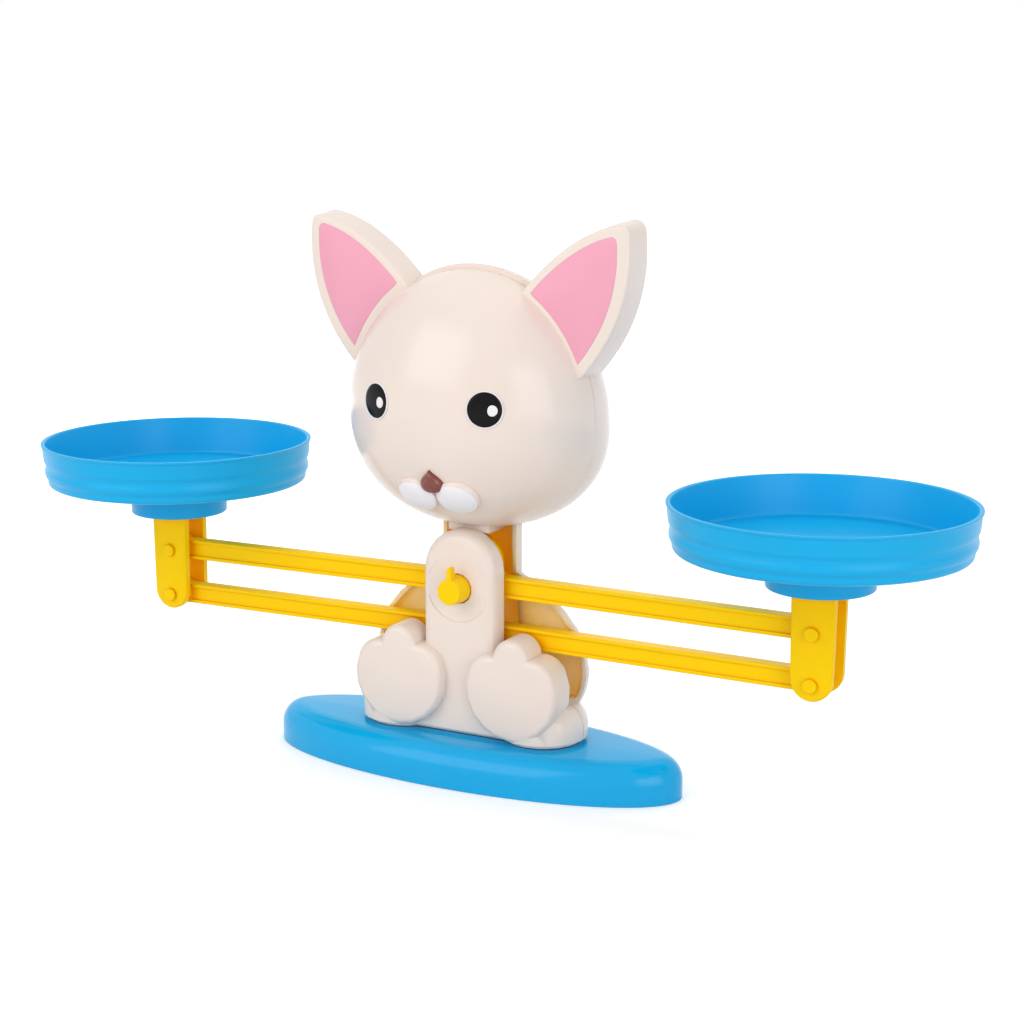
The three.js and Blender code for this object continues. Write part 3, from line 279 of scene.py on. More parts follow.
# Strength and depth of the plastic's marks, the softening of its edges, and how it scatters light
SINK_STRENGTH = 0.03
SINK_DEPTH = 1.5 * MM
PEEL_STRENGTH = 0.02
PEEL_DEPTH = 0.05 * MM
EDGE_SOFTENING = 0.35 * MM
ROUGHNESS_SPREAD = 0.03
PLASTIC_IOR = 1.45
GLOW_SPREAD = (1.0, 0.55, 0.2)

# Open share of the sky at which a place takes the full painted bounce colour, and at which it takes none
PAINTED_BOUNCE_OPENNESS = (0.25, 0.7)

# Height in millimetres over which the painted bounce colour comes in
PAINTED_BOUNCE_FADE = 2.0

# Share of the painted bounce mask at which a shell has its full glow
FULL_GLOW_SHARE = 0.2

PAINTED_BOUNCE_SAMPLES = 8
EDGE_SAMPLES = 4

# Steel: turning lines and clouds to a metre, its tones, gloss and marks
STEEL_LINE_COUNT = 2600.0
STEEL_CLOUD_COUNT = 300.0
STEEL_TONES = ((0.52, 0.53, 0.55), (0.42, 0.43, 0.45))
STEEL_ROUGHNESS = (0.32, 0.42)
STEEL_LINE_STRENGTH = 0.08
STEEL_LINE_DEPTH = 0.03 * MM


def moulded(name, colour, shade, roughness, gloss, glow=0.0, glow_reach=2.0, painted_bounce=None,
            painted_bounce_reach=10.0, painted_bounce_floor=0.0, painted_deep_bounce=None):
    """Moulded plastic: cloudy colour, uneven gloss, softened edges, faint peel and slow sink marks.

    A painted bounce colour is light that deep places above a height take from the bright pieces in front
    of them, painted into their colour.
    A painted deep bounce colour takes its place in the neck's channel and low down, where the beams are
    closest.
    Glow is the light that comes to such places through the wall."""
    material, tree = new_material(name)
    place = add_node(tree, "ShaderNodeTexCoord").outputs["Object"]
    clouds = noise(tree, place, CLOUD_COUNT, detail=3.0)
    streaks = noise(tree, place, STREAK_COUNT, detail=3.0, roughness=0.6)
    peel = noise(tree, place, PEEL_COUNT, detail=1.0)
    sinks = noise(tree, place, SINK_COUNT, detail=1.0)
    tone = blend_colours(tree, spread(tree, clouds, 0.0, 1.0), colour, shade)
    shader = add_node(tree, "ShaderNodeBsdfPrincipled")
    # Painted bounce light: deep places found by ambient occlusion take a warm tint in place of light
    # from the bright yellow pieces
    if painted_bounce is not None:
        depth = add_node(tree, "ShaderNodeAmbientOcclusion", samples=PAINTED_BOUNCE_SAMPLES)
        set_inputs(depth, Distance=painted_bounce_reach * MM)
        parts = add_node(tree, "ShaderNodeSeparateXYZ")
        tree.links.new(place, parts.inputs[0])
        fade_end = painted_bounce_floor + PAINTED_BOUNCE_FADE
        above = spread(tree, parts.outputs["Z"], 0.0, 1.0, painted_bounce_floor * MM, fade_end * MM)
        share = add_node(tree, "ShaderNodeMath", operation="MULTIPLY")
        tree.links.new(spread(tree, depth.outputs["AO"], 1.0, 0.0, *PAINTED_BOUNCE_OPENNESS), share.inputs[0])
        tree.links.new(above, share.inputs[1])
        if painted_deep_bounce is not None:
            aside = add_node(tree, "ShaderNodeMath", operation="ABSOLUTE")
            tree.links.new(parts.outputs["X"], aside.inputs[0])
            wing = add_node(tree, "ShaderNodeMath", operation="MULTIPLY")
            tree.links.new(spread(tree, aside.outputs[0], 0.0, 1.0, *WING_INNER_X), wing.inputs[0])
            tree.links.new(spread(tree, parts.outputs["Z"], 0.0, 1.0, *WING_LOWER_Z), wing.inputs[1])
            painted_bounce = blend_colours(tree, wing.outputs[0], painted_deep_bounce, painted_bounce)
        tone = blend_colours(tree, share.outputs[0], tone, painted_bounce)
        if glow > 0:
            inner_glow = spread(tree, share.outputs[0], 0.0, glow, 0.0, FULL_GLOW_SHARE)
            tree.links.new(inner_glow, shader.inputs["Subsurface Weight"])
    output = add_node(tree, "ShaderNodeOutputMaterial")
    tree.links.new(tone, shader.inputs["Base Color"])
    uneven = spread(tree, streaks, roughness - ROUGHNESS_SPREAD, roughness + ROUGHNESS_SPREAD)
    tree.links.new(uneven, shader.inputs["Roughness"])
    edge = add_node(tree, "ShaderNodeBevel", samples=EDGE_SAMPLES)
    set_inputs(edge, Radius=EDGE_SOFTENING)
    slow = bump(tree, sinks, SINK_STRENGTH, SINK_DEPTH, edge.outputs["Normal"])
    tree.links.new(bump(tree, peel, PEEL_STRENGTH, PEEL_DEPTH, slow), shader.inputs["Normal"])
    set_inputs(shader, IOR=PLASTIC_IOR, Specular_IOR_Level=gloss)
    set_inputs(shader, Subsurface_Scale=glow_reach * MM)
    shader.inputs["Subsurface Radius"].default_value = GLOW_SPREAD
    tree.links.new(shader.outputs["BSDF"], output.inputs["Surface"])
    return material


def steel(name):
    """Bright zinc-plated steel with fine turning lines."""
    material, tree = new_material(name)
    place = add_node(tree, "ShaderNodeTexCoord").outputs["Object"]
    lines = noise(tree, place, STEEL_LINE_COUNT, detail=2.0)
    clouds = noise(tree, place, STEEL_CLOUD_COUNT, detail=3.0)
    shader = add_node(tree, "ShaderNodeBsdfPrincipled")
    output = add_node(tree, "ShaderNodeOutputMaterial")
    tone = blend_colours(tree, spread(tree, clouds, 0.0, 1.0), *STEEL_TONES)
    tree.links.new(tone, shader.inputs["Base Color"])
    tree.links.new(spread(tree, lines, *STEEL_ROUGHNESS), shader.inputs["Roughness"])
    tree.links.new(bump(tree, lines, STEEL_LINE_STRENGTH, STEEL_LINE_DEPTH), shader.inputs["Normal"])
    set_inputs(shader, Metallic=1.0)
    tree.links.new(shader.outputs["BSDF"], output.inputs["Surface"])
    return material


# Colours as screen values: the plastic's own and a second tone of its clouds
CREAM = (linear(236, 222, 212), linear(233, 217, 206))
YELLOW = (linear(255, 210, 0), linear(255, 205, 0))
BLUE = (linear(12, 172, 230), linear(9, 167, 226))
SATIN_BLUE = (linear(13, 173, 229), linear(10, 168, 225))
PINK = (linear(240, 169, 190), linear(237, 164, 184))
BROWN = (linear(126, 56, 45), linear(110, 47, 38))
BLACK = (linear(12, 10, 12), linear(17, 14, 16))
WHITE = (linear(240, 237, 240), linear(237, 233, 237))
# Painted bounce light: warm tints that stand in for the light that the yellow beams throw into deep
# places
ORANGE_PAINTED_BOUNCE = linear(255, 172, 0)
AMBER_PAINTED_BOUNCE = linear(255, 195, 78)
AMBER_PAINTED_DEEP_BOUNCE = linear(255, 172, 12)

FINISHES = {
    "cream_plastic": moulded("cream_plastic", *CREAM, roughness=0.2, gloss=0.45),
    # The yellow's recesses take a painted orange bounce
    "yellow_plastic": moulded("yellow_plastic", *YELLOW, roughness=0.36, gloss=0.14,
                              painted_bounce=ORANGE_PAINTED_BOUNCE),
    "blue_plastic": moulded("blue_plastic", *BLUE, roughness=0.13, gloss=0.3),
    "pink_paint": moulded("pink_paint", *PINK, roughness=0.45, gloss=0.15),
    "brown_paint": moulded("brown_paint", *BROWN, roughness=0.2, gloss=0.7),
    "black_paint": moulded("black_paint", *BLACK, roughness=0.2, gloss=0.15),
    "white_paint": moulded("white_paint", *WHITE, roughness=0.36, gloss=0.2),
    "steel": steel("steel"),
}

# The pans are less shiny than the base
PAN_BLUE = moulded("pan_blue", *SATIN_BLUE, roughness=0.345, gloss=0.28)

# The rear shell of the body, whose inside is lit through its wall, and takes the yellow beams' light as
# painted amber bounce in its colour
SHELL_CREAM = moulded("cream_shell", *CREAM, roughness=0.2, gloss=0.45, glow=0.95, glow_reach=10.0,
                      painted_bounce=AMBER_PAINTED_BOUNCE, painted_bounce_reach=16.0, painted_bounce_floor=28.0, painted_deep_bounce=AMBER_PAINTED_DEEP_BOUNCE)


# Shading of the pieces: vertices merged, and smooth except at edges over the angle

def smoothing_group(name, angle):
    group = bpy.data.node_groups.new(name, "GeometryNodeTree")
    group.interface.new_socket("Geometry", in_out="INPUT", socket_type="NodeSocketGeometry")
    group.interface.new_socket("Geometry", in_out="OUTPUT", socket_type="NodeSocketGeometry")
    start = group.nodes.new("NodeGroupInput")
    end = group.nodes.new("NodeGroupOutput")
    merge = group.nodes.new("GeometryNodeMergeByDistance")
    merge.inputs["Distance"].default_value = MERGE_DISTANCE
    faces = group.nodes.new("GeometryNodeSetShadeSmooth")
    faces.domain = "FACE"
    faces.inputs["Shade Smooth"].default_value = True
    edges = group.nodes.new("GeometryNodeSetShadeSmooth")
    edges.domain = "EDGE"
    edges.inputs["Shade Smooth"].default_value = False
    corner = group.nodes.new("GeometryNodeInputMeshEdgeAngle")
    over = group.nodes.new("FunctionNodeCompare")
    over.operation = "GREATER_THAN"
    over.inputs["B"].default_value = math.radians(angle)
    group.links.new(corner.outputs["Unsigned Angle"], over.inputs["A"])
    group.links.new(over.outputs["Result"], edges.inputs["Selection"])
    chain = [start, merge, faces, edges, end]
    for first, second in zip(chain, chain[1:]):
        group.links.new(first.outputs["Geometry"], second.inputs["Geometry"])
    return group


SMOOTH = smoothing_group("smooth_curves", SMOOTH_ANGLE)


def smooth(piece):
    piece.modifiers.new("smooth", "NODES").node_group = SMOOTH


# Every solid gets its slot's material and smooth curves
for subpart in frame["record"]["subparts"]:
    solid = frame["nodes"][subpart["node"]]
    solid.data.materials.clear()
    solid.data.materials.append(FINISHES[subpart["material_slot"]])
    smooth(solid)
frame["nodes"]["body_back"].data.materials.clear()
frame["nodes"]["body_back"].data.materials.append(SHELL_CREAM)


# Shapes, as lists of points in millimetres and of faces

def skinned(rings, is_closed=False):
    """A surface over rings of points. A ring of one point is a tip."""
    points = [point for ring in rings for point in ring]
    firsts = [sum(len(ring) for ring in rings[:i]) for i in range(len(rings))]
    numbered = [range(first, first + len(ring)) for first, ring in zip(firsts, rings)]
    steps = max(len(ring) for ring in rings)
    faces = []
    for low, high in zip(numbered, numbered[1:] + numbered[:1] * is_closed):
        for i in range(steps):
            j = i + 1
            corners = (low[i % len(low)], low[j % len(low)], high[j % len(high)], high[i % len(high)])
            faces.append(tuple(dict.fromkeys(corners)))
    return points, faces


def circle(radius, steps):
    if radius < TIP_RADIUS:
        return [(0.0, 0.0)]
    turns = [2 * math.pi * i / steps for i in range(steps)]
    return [(radius * math.cos(turn), radius * math.sin(turn)) for turn in turns]


def turned_up(profile, x, y, steps=TURN_STEPS, is_closed=False):
    """A turned surface on an upright axis, from (radius, height) pairs."""
    rings = [[(x + a, y + b, along) for a, b in circle(radius, steps)] for radius, along in profile]
    return skinned(rings, is_closed)


def turned_across(profile, x, z, steps=SMALL_STEPS, is_closed=False):
    """A turned surface on an axis along Y, from (radius, y) pairs."""
    rings = [[(x + a, along, z + b) for a, b in circle(radius, steps)] for radius, along in profile]
    return skinned(rings, is_closed)


def softened(corners, steps=ARC_STEPS):
    """A profile with rounded corners, from (radius, along, reach of the rounding) corners."""
    profile = []
    for i, (radius, along, reach) in enumerate(corners):
        here = Vector((radius, along))
        if reach == 0:
            profile.append(tuple(here))
            continue
        before = Vector(corners[i - 1][:2]) - here
        after = Vector(corners[i + 1][:2]) - here
        start = here + before.normalized() * min(reach, before.length / 2)
        end = here + after.normalized() * min(reach, after.length / 2)
        for k in range(steps + 1):
            share = k / steps
            profile.append(tuple(start.lerp(here, share).lerp(here.lerp(end, share), share)))
    return profile


def bezier(*controls, steps=24):
    """Points along a curve of any order, without its last point."""
    curve = []
    for k in range(steps):
        points = [Vector(control) for control in controls]
        while len(points) > 1:
            points = [first.lerp(second, k / steps) for first, second in zip(points, points[1:])]
        curve.append(points[0])
    return curve


def moved_in(outline, distance):
    """A closed outline that runs clockwise, moved inwards."""
    moved = []
    for i, point in enumerate(outline):
        arriving = (point - outline[i - 1]).normalized()
        leaving = (outline[(i + 1) % len(outline)] - point).normalized()
        inward = Vector((arriving.y + leaving.y, -arriving.x - leaving.x)).normalized()
        squareness = max(inward.dot(Vector((arriving.y, -arriving.x))), LEAST_SQUARENESS)
        moved.append(point + inward * (distance / squareness))
    return moved


def slab(outline, front_y, back_y, rounding, steps=6, draft=0.0):
    """A plate drawn in the XZ plane with both its edges rounded. Its sides draw in towards the front."""
    levels = []
    for k in range(steps + 1):
        turn = math.pi / 2 * k / steps
        levels.append((rounding * (1 - math.sin(turn)), rounding * (1 - math.cos(turn))))
    rings = []
    for inset, drop in levels:
        rings.append([(p.x, front_y + drop, p.y) for p in moved_in(outline, draft + inset)])
    for inset, drop in reversed(levels):
        rings.append([(p.x, back_y - drop, p.y) for p in moved_in(outline, inset)])
    points, faces = skinned(rings)
    count = len(outline)
    faces.append(tuple(range(count)))
    faces.append(tuple(range(len(points) - count, len(points))))
    return points, faces


def box(*ranges):
    corners = [(x, y, z) for x in ranges[0] for y in ranges[1] for z in ranges[2]]
    faces = [(0, 1, 3, 2), (4, 6, 7, 5), (0, 4, 5, 1), (2, 3, 7, 6), (0, 2, 6, 4), (1, 5, 7, 3)]
    return corners, faces


def together(*shapes):
    points, faces = [], []
    for more_points, more_faces in shapes:
        start = len(points)
        points.extend(more_points)
        faces.extend(tuple(start + i for i in face) for face in more_faces)
    return points, faces


def placed(shape, matrix):
    points, faces = shape
    return [tuple(matrix @ Vector(point)) for point in points], faces


# Pieces

def new_object(name, shape):
    mesh = bpy.data.meshes.new(name)
    points, faces = shape
    mesh.from_pydata([Vector(point) * MM for point in points], [], faces)
    work = bmesh.new()
    work.from_mesh(mesh)
    bmesh.ops.recalc_face_normals(work, faces=work.faces)
    work.to_mesh(mesh)
    work.free()
    piece = bpy.data.objects.new(name, mesh)
    bpy.context.scene.collection.objects.link(piece)
    return piece


def dress(piece, finish, body, *nodes):
    """Gives a piece its finish and smooth curves, and makes it ride on a body in place of solids."""
    piece.data.materials.clear()
    piece.data.materials.append(FINISHES[finish])
    smooth(piece)
    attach(piece, body)
    if nodes:
        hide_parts(*nodes)


def add_fine(node, shape, finish):
    """A finer piece in place of one solid."""
    piece = new_object(f"fine_{node}", shape)
    dress(piece, finish, BODY_OF[node], node)
    return piece


def settle(piece):
    """Makes a piece's modifiers part of its mesh."""
    bpy.context.view_layer.update()
    graph = bpy.context.evaluated_depsgraph_get()
    shaped = bpy.data.meshes.new_from_object(piece.evaluated_get(graph))
    piece.modifiers.clear()
    piece.data = shaped


def carve(piece, *shapes):
    cutters = [new_object("cutter", shape) for shape in shapes]
    for cutter in cutters:
        knife = piece.modifiers.new("carve", "BOOLEAN")
        knife.operation = "DIFFERENCE"
        knife.solver = "EXACT"
        knife.object = cutter
    settle(piece)
    for cutter in cutters:
        bpy.data.objects.remove(cutter)


# Pans: a rolled lip, a groove and a rounded band round a thin wall, and a collar underneath.
# Each corner has a radius, a height and the reach of its rounding
PAN_CORNERS = [
    (0, PAN_Z, 0),
    (14.8, PAN_Z, 0.4),
    (14.8, COLLAR_Z, 0.4),
    (17.8, COLLAR_Z, 0.7),
    (17.8, PAN_Z, 0.5),
    (47.75, PAN_Z, 2.4),
    (47.9, RIM_Z - 12.8, 0.4),
    (48.75, RIM_Z - 11.7, 0.7),
    (48.95, RIM_Z - 10.2, 1.2),
    (48.55, RIM_Z - 8.8, 0.5),
    (48.6, RIM_Z - 7.4, 0.5),
    (49.15, RIM_Z - 6.3, 0.6),
    (49.6, RIM_Z - 1.1, 0.2),
    (50.0, RIM_Z - 0.7, 0.25),
    (50.0, RIM_Z, 0.4),
    (48.4, RIM_Z, 0.6),
    (46.4, PAN_Z + PAN_FLOOR, 1.2),
    (0, PAN_Z + PAN_FLOOR, 0),
]
for word, sign in SIDES.items():
    pan = add_fine(f"{word}_pan", turned_up(softened(PAN_CORNERS), sign * ARM_LENGTH, 0), "blue_plastic")
    pan.data.materials[0] = PAN_BLUE


# Base: an oval shell with a full round edge, open underneath, with four screw bosses

def oval(half_length, half_depth, inset, z):
    ring = []
    for i in range(TURN_STEPS):
        turn = 2 * math.pi * i / TURN_STEPS
        outward = Vector((half_depth * math.cos(turn), half_length * math.sin(turn))).normalized()
        x = half_length * math.cos(turn) - inset * outward.x
        y = half_depth * math.sin(turn) - inset * outward.y
        ring.append((x, y, z))
    return ring


def rounded_oval(half_length, half_depth, top_z, rounding):
    """Rings from the foot of a rounded oval to the middle of its top."""
    rings = [oval(half_length, half_depth, 0, 0)]
    for k in range(ARC_STEPS + 1):
        turn = math.pi / 2 * k / ARC_STEPS
        rise = top_z - rounding + rounding * math.sin(turn)
        rings.append(oval(half_length, half_depth, rounding * (1 - math.cos(turn)), rise))
    return rings + [[(0, 0, top_z)]]


OUTSIDE_SIZES = (BASE_HALF_LENGTH, BASE_HALF_DEPTH, BASE_HEIGHT, BASE_ROUND)
outside = rounded_oval(*OUTSIDE_SIZES)
inside = rounded_oval(*[size - BASE_WALL for size in OUTSIDE_SIZES])
BOSS_TOP_Z = BASE_HEIGHT - BASE_WALL + BOSS_OVERLAP
BASE_BOSS = [
    (COUNTERBORE_RADIUS, BASE_SEAT_Z + SEAT_GAP),
    (COUNTERBORE_RADIUS, BASE_SEAT_Z - BOSS_LIP),
    (BOSS_RADIUS, BASE_SEAT_Z - BOSS_LIP),
    (BOSS_RADIUS, BOSS_TOP_Z),
    (SCREW_RADIUS, BOSS_TOP_Z),
    (SCREW_RADIUS, BASE_SEAT_Z + SEAT_GAP),
]
base_screw_places = {
    f"base_screw_{end}_{word}": (sign * BASE_SCREW_X, side * BASE_SCREW_Y)
    for word, sign in SIDES.items()
    for end, side in (("front", -1), ("back", 1))
}
bosses = [turned_up(BASE_BOSS, x, y, SMALL_STEPS, True) for x, y in base_screw_places.values()]
add_fine("base", together(skinned(list(reversed(inside)) + outside), *bosses), "blue_plastic")


# Head: two half shells on one round form, the rear one with a higher crown

def head_point(angle, turn, crown):
    power = 2 / CHIN_FULLNESS if angle < 0 else 1
    reach = HEAD_LOW if angle < 0 else HEAD_HIGH + crown
    rise = math.copysign(reach * abs(math.sin(angle)) ** power, angle)
    share = abs(math.cos(angle)) ** power
    x = HEAD_HALF_WIDTH * share * math.cos(turn)
    y = HEAD_HALF_DEPTH * share * math.sin(turn) - HEAD_LEAN * rise
    return tuple(HEAD_MIDDLE + Vector((x, y, rise)))


def head_form(crown):
    rings = [[head_point(-math.pi / 2, 0, crown)]]
    for k in range(1, HEAD_RINGS):
        angle = math.pi * (k / HEAD_RINGS - 0.5)
        rings.append([head_point(angle, 2 * math.pi * i / TURN_STEPS, crown) for i in range(TURN_STEPS)])
    return skinned(rings + [[head_point(math.pi / 2, 0, crown)]])


def head_depth(x, z):
    """Half the head's depth at a place across and up, and the middle of that depth."""
    rise = z - HEAD_MIDDLE.z
    across = x / HEAD_HALF_WIDTH
    if rise < 0:
        reach = (1 - (-rise / HEAD_LOW) ** CHIN_FULLNESS) ** (1 / CHIN_FULLNESS)
    else:
        reach = math.sqrt(1 - (rise / HEAD_HIGH) ** 2)
    half = HEAD_HALF_DEPTH * math.sqrt(max(reach ** 2 - across ** 2, 0))
    return half, HEAD_MIDDLE.y - HEAD_LEAN * rise


def face_y(x, z):
    half, middle = head_depth(x, z)
    return middle - half


def face_frame(x, z):
    """A frame on the face: X to the right, Y up the surface and Z straight out of it."""
    reach = 0.5
    slope_x = (face_y(x + reach, z) - face_y(x - reach, z)) / (2 * reach)
    slope_z = (face_y(x, z + reach) - face_y(x, z - reach)) / (2 * reach)
    outward = Vector((slope_x, -1, slope_z)).normalized()
    right = Vector((0, 0, 1)).cross(outward).normalized()
    up = outward.cross(right)
    turn = Matrix((right, up, outward)).transposed().to_4x4()
    return Matrix.Translation((x, face_y(x, z), z)) @ turn


def head_half(name, crown, sign):
    """One half of the head, as a shell that ends at the seam. The front half has the sign -1."""
    half = new_object(name, head_form(crown))
    work = bmesh.new()
    work.from_mesh(half.data)
    seam = Vector((0, SEAM_Y + sign * SEAM_GAP / 2, 0)) * MM
    every = work.verts[:] + work.edges[:] + work.faces[:]
    bmesh.ops.bisect_plane(work, geom=every, plane_co=seam, plane_no=(0, -sign, 0), clear_outer=True)
    work.to_mesh(half.data)
    work.free()
    wall = half.modifiers.new("wall", "SOLIDIFY")
    wall.thickness = HEAD_WALL * MM
    wall.offset = -1
    settle(half)
    return half


def screw_tube(x, z):
    """The wall of a screw's long counterbore, which ends just under the head's surface."""
    def ring(radius, level=None):
        places = [(x + a, z + b) for a, b in circle(radius, SMALL_STEPS)]
        if level is None:
            depths = [sum(head_depth(*place)) - TUBE_SET_BACK for place in places]
        else:
            depths = [level] * len(places)
        return [(across, depth, up) for (across, up), depth in zip(places, depths)]
    seat = HEAD_SCREW_SEAT_Y - SEAT_GAP
    foot = SEAM_Y + TUBE_SEAM_GAP
    return skinned([
        ring(SCREW_RADIUS, seat),
        ring(COUNTERBORE_RADIUS, seat),
        ring(COUNTERBORE_RADIUS),
        ring(BOSS_RADIUS),
        ring(BOSS_RADIUS, foot),
        ring(SCREW_RADIUS, foot),
    ], True)


def join_shapes(piece, *shapes):
    """Adds closed shapes to a piece's mesh."""
    extra = new_object("extra", together(*shapes))
    work = bmesh.new()
    work.from_mesh(piece.data)
    work.from_mesh(extra.data)
    work.to_mesh(piece.data)
    work.free()
    bpy.data.objects.remove(extra)


head_front = head_half("fine_head_front", 0, -1)
chin_peg = box((-PEG_HALF_WIDTH, PEG_HALF_WIDTH), PEG_DEPTHS, PEG_LEVELS)
join_shapes(head_front, chin_peg)
dress(head_front, "cream_plastic", "stand", "head_front")

head_back = head_half("fine_head_back", HEAD_CROWN, 1)
bore_start, bore_end = HEAD_BORE_CUT
bore = [(0, bore_start), (COUNTERBORE_RADIUS, bore_start), (COUNTERBORE_RADIUS, bore_end), (0, bore_end)]
counterbores = [turned_across(bore, x, z) for x, z in HEAD_SCREWS.values()]
neck_sides = (-NECK_HALF_WIDTH, NECK_HALF_WIDTH)
neck_opening = box(neck_sides, (NECK_CUT_Y, NECK_BACK_Y), (NECK_CUT_Z, NECK_TOP_Z))
carve(head_back, neck_opening, *counterbores)
join_shapes(head_back, *[screw_tube(x, z) for x, z in HEAD_SCREWS.values()])
dress(head_back, "cream_plastic", "stand", "head_back")


# Ears: thick leaves with soft edges and a pink face

EAR_ROOT_IN = (14, 33)
EAR_FOOT_IN = (20.4, 45.3)
EAR_TIP_IN = (55.5, 69.2)
EAR_TIP = (61.6, 70.85)
EAR_TIP_OUT = (61.9, 64.6)
EAR_FOOT_OUT = (45.8, 18)
EAR_ROOT_OUT = (34, 8)
EAR_BULGE_IN = ((30.9, 57.8), (43.4, 66.7))
EAR_BULGE_OUT = ((63.4, 47.5), (58, 31.5))
PINK_RUN_ON = 9.0
PINK_SHIFTS = {"left": (0.2, 0.9), "right": (-1.1, -0.3)}
PINK_TIP_ROUND = 1.1
LAST_RUN = 1.0
SEARCH_REACH = 90.0
SEARCH_STEPS = 40


def ear_edge():
    """The open edge of the right ear, from the inner foot over the tip to the outer foot."""
    return (
        bezier(EAR_FOOT_IN, *EAR_BULGE_IN, EAR_TIP_IN)
        + bezier(EAR_TIP_IN, EAR_TIP, EAR_TIP_OUT, steps=10)
        + bezier(EAR_TIP_OUT, *EAR_BULGE_OUT, EAR_FOOT_OUT)
        + [Vector(EAR_FOOT_OUT)]
    )


def is_above_head(point, border):
    """Whether a place on the ear's front face is outside the head and its border."""
    x, rise = point
    level = math.hypot(x / (HEAD_HALF_WIDTH + border), rise / (HEAD_HIGH + border))
    depth = (EAR_FRONT_Y - HEAD_MIDDLE.y + HEAD_LEAN * rise) / (HEAD_HALF_DEPTH + border)
    return math.hypot(level, depth) > 1


def head_edge(first, last, border, steps=20):
    """Points along the head's border between two places on it, seen from the front."""
    edge = []
    start, end = (math.atan2(point.y, point.x) for point in (first, last))
    for k in range(steps + 1):
        turn = start + (end - start) * k / steps
        near, far = 0.0, SEARCH_REACH
        for _ in range(SEARCH_STEPS):
            middle = (near + far) / 2
            outside = is_above_head((middle * math.cos(turn), middle * math.sin(turn)), border)
            near, far = (near, middle) if outside else (middle, far)
        edge.append(Vector((far * math.cos(turn), far * math.sin(turn))))
    return edge


def rounded_corner(before, after, reach):
    """Two open outlines that cross, cut at their crossing and joined there by a soft corner."""
    for i, (a, b) in enumerate(zip(before, before[1:])):
        for k, (c, d) in enumerate(zip(after, after[1:])):
            corner = intersect_line_line_2d(a, b, c, d)
            if corner is not None:
                first = [p for p in before[:i + 1] if (p - corner).length > reach]
                last = [p for p in after[k + 1:] if (p - corner).length > reach]
                return first[:-1] + bezier(first[-1], corner, last[0], steps=10) + last
    return before + after


def run_on(curve, reach):
    """A curve with a straight run added at both its ends."""
    start = curve[0] + (curve[0] - curve[1]).normalized() * reach
    end = curve[-1] + (curve[-1] - curve[-2]).normalized() * reach
    return [start] + curve + [end]


def pink_outline():
    """The pink face: both edges of the ear moved in, down to a border along the head."""
    edges = (
        bezier(EAR_FOOT_IN, *EAR_BULGE_IN, EAR_TIP_IN) + [Vector(EAR_TIP_IN)],
        bezier(EAR_TIP_OUT, *EAR_BULGE_OUT, EAR_FOOT_OUT) + [Vector(EAR_FOOT_OUT)],
    )
    longer = [run_on(run_on(edge, PINK_RUN_ON), LAST_RUN) for edge in edges]
    inner, outer = (moved_in(edge, EAR_BORDER)[1:-1] for edge in longer)
    edge = [p for p in rounded_corner(inner, outer, PINK_TIP_ROUND) if is_above_head(p, EAR_ROOT_BORDER)]
    return edge + head_edge(edge[-1], edge[0], EAR_ROOT_BORDER)[1:-1]


def mirrored(outline, sign):
    """The outline for one side of the head, always clockwise seen from the front."""
    at = [Vector((sign * p.x, HEAD_MIDDLE.z + p.y)) for p in outline]
    return at if sign > 0 else list(reversed(at))


for word, sign in SIDES.items():
    leaf = mirrored([Vector(EAR_ROOT_IN)] + ear_edge() + [Vector(EAR_ROOT_OUT)], sign)
    thick_leaf = slab(leaf, EAR_FRONT_Y, EAR_BACK_Y, EAR_ROUND, draft=EAR_DRAFT)
    add_fine(f"ear_{word}", thick_leaf, "cream_plastic")
    face = [point + Vector(PINK_SHIFTS[word]) for point in mirrored(pink_outline(), sign)]
    thin_face = slab(face, EAR_FRONT_Y - PINK_PROUD, EAR_FRONT_Y + PINK_DEPTH, PINK_ROUND)
    add_fine(f"ear_insert_{word}", thin_face, "pink_paint")


# Face: flush domed eyes in a thin raised white rim, partly a printed outline and partly a painted
# highlight along the eye's edge, white glints, a soft nose and two puffs

def cap(radius, edge, top, steps=ARC_STEPS):
    """The profile of a shallow dome, from its middle out to its edge, down and back to the middle."""
    turns = [math.pi / 2 * k / steps for k in range(steps + 1)]
    profile = [(radius * math.sin(turn), edge + (top - edge) * math.cos(turn)) for turn in turns]
    return profile + [(radius, edge - DOME_ROOT), (0, edge - DOME_ROOT)]


def ring_profile(radius, height, thickness, steps=10):
    turns = [2 * math.pi * k / steps for k in range(steps)]
    return [(radius + thickness * math.cos(turn), height + thickness * math.sin(turn)) for turn in turns]


for word, sign in SIDES.items():
    at_eye = face_frame(sign * EYE_SPREAD, HEAD_MIDDLE.z + EYE_RISE)
    dome = turned_up(cap(EYE_RADIUS, *EYE_LEVELS), 0, 0, 2 * SMALL_STEPS)
    add_fine(f"eye_{word}", placed(dome, at_eye), "black_paint")
    glint = turned_up(cap(GLINT_RADIUS, *GLINT_LEVELS), GLINT_OFFSET, -GLINT_DROP, SMALL_STEPS)
    add_fine(f"eye_glint_{word}", placed(glint, at_eye), "white_paint")
    # The rim is white paint: partly a printed outline, partly a painted highlight along the eye's edge
    rim = turned_up(ring_profile(*EYE_HIGHLIGHT_RIM), 0, 0, 2 * SMALL_STEPS, True)
    piece = new_object(f"eye_highlight_rim_{word}", placed(rim, at_eye))
    dress(piece, "white_paint", "stand")


